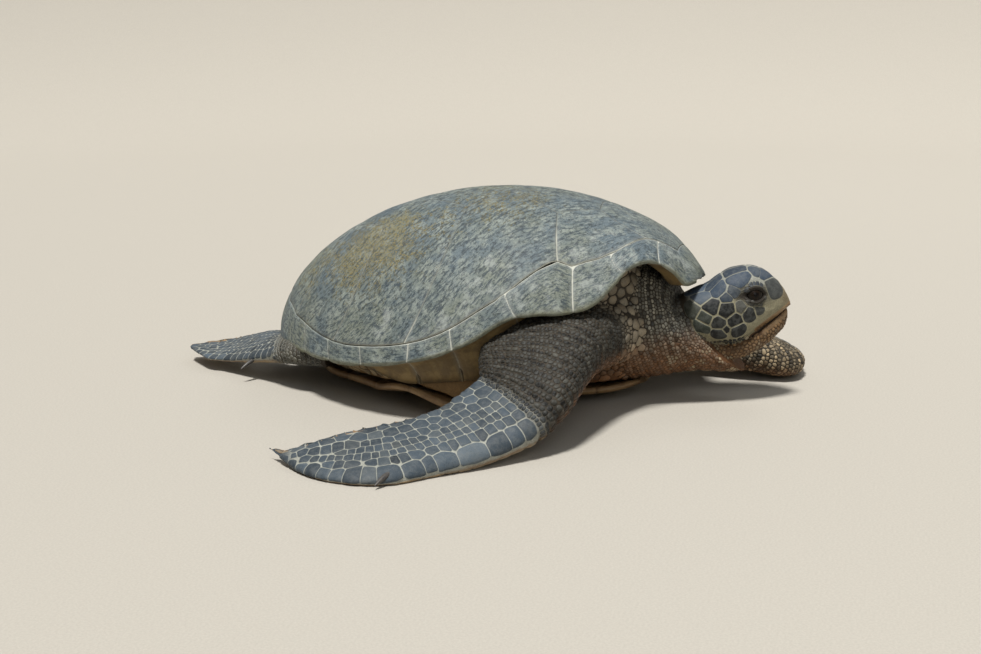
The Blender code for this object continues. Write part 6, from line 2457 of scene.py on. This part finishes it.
class Studio:
    """Pale floor running into a pale backdrop, soft lights, camera."""

    FLAT, ROUND, WALL = 4.2, 2.3, 5.0
    SKY, SKY_POWER = (0.90, 0.94, 1.0, 1.0), 0.26
    LAMPS = (Lamp("key", -105.0, 74.0, 6.5, 0.18, 4.65, (1.0, 0.97, 0.93), "SUN"),
             Lamp("fill", -60.0, 30.0, 5.0, 3.0, 36.0, (0.96, 0.98, 1.0)),
             Lamp("rim", 70.0, 48.0, 5.0, 2.0, 24.0, (1.0, 0.98, 0.95)))

    def build(self) -> None:
        """Floor, lights, camera."""
        self.floor()
        self.lights()
        self.camera(CameraSizes())

    def floor(self) -> None:
        """A round bowl: flat under the animal, curving up into a wall all round."""
        bend, turns, n = self.ROUND, 96, 16
        arc = np.linspace(0, math.pi / 2, n)
        reach = np.concatenate([[0.5, self.FLAT * 0.5], self.FLAT + bend * np.sin(arc), [self.FLAT + bend]])
        high = np.concatenate([[0.0, 0.0], bend - bend * np.cos(arc), [self.WALL]])
        ang = turn(turns)
        loops = np.stack([np.outer(reach, np.cos(ang)), np.outer(reach, np.sin(ang)),
                          np.repeat(high[:, None], turns, 1) - 0.0002], -1)
        bowl = tube(loops)
        top = len(reach) * turns + 1
        bowl.faces = bowl.faces[(bowl.faces != top).all(1)]
        bowl.verts = bowl.verts[:top] + ORIGIN
        obj = make_mesh("studio_bowl", bowl)
        obj.data.materials.append(StudioFloor().make())

    def lights(self) -> None:
        """A high key, a broad fill, a light from behind and a pale sky."""
        for lamp in self.LAMPS:
            lamp.build()
        world = bpy.data.worlds.new("studio")
        world.use_nodes = True
        bg = world.node_tree.nodes["Background"]
        bg.inputs[0].default_value = self.SKY
        bg.inputs[1].default_value = self.SKY_POWER
        bpy.context.scene.world = world
        bpy.context.scene.view_settings.view_transform = "Standard"

    @staticmethod
    def camera(z: CameraSizes) -> None:
        """Places the camera and makes it the scene's own."""
        a, e, r = (math.radians(v) for v in (z.azimuth, z.elevation, z.roll))
        back = np.array([math.sin(a) * math.cos(e), -math.cos(a) * math.cos(e), math.sin(e)])
        right = np.array([math.cos(a), math.sin(a), 0.0])
        up = np.cross(back, right)
        rx = right * math.cos(r) + up * math.sin(r)
        uy = -right * math.sin(r) + up * math.cos(r)
        data = bpy.data.cameras.new("view")
        data.lens, data.sensor_width, data.clip_end = z.lens, 36.0, 100.0
        obj = bpy.data.objects.new("view", data)
        m = Matrix(np.stack([rx, uy, back], 1).tolist()).to_4x4()
        m.translation = Vector(np.array(z.place) - ORIGIN)
        obj.matrix_world = m
        bpy.context.scene.collection.objects.link(obj)
        bpy.context.scene.camera = obj


def main() -> None:
    """Builds everything and reports."""
    logging.basicConfig(level=logging.INFO, format="%(name)s %(message)s")
    Turtle().build()
    Studio().build()


if __name__ == "__main__":
    main()
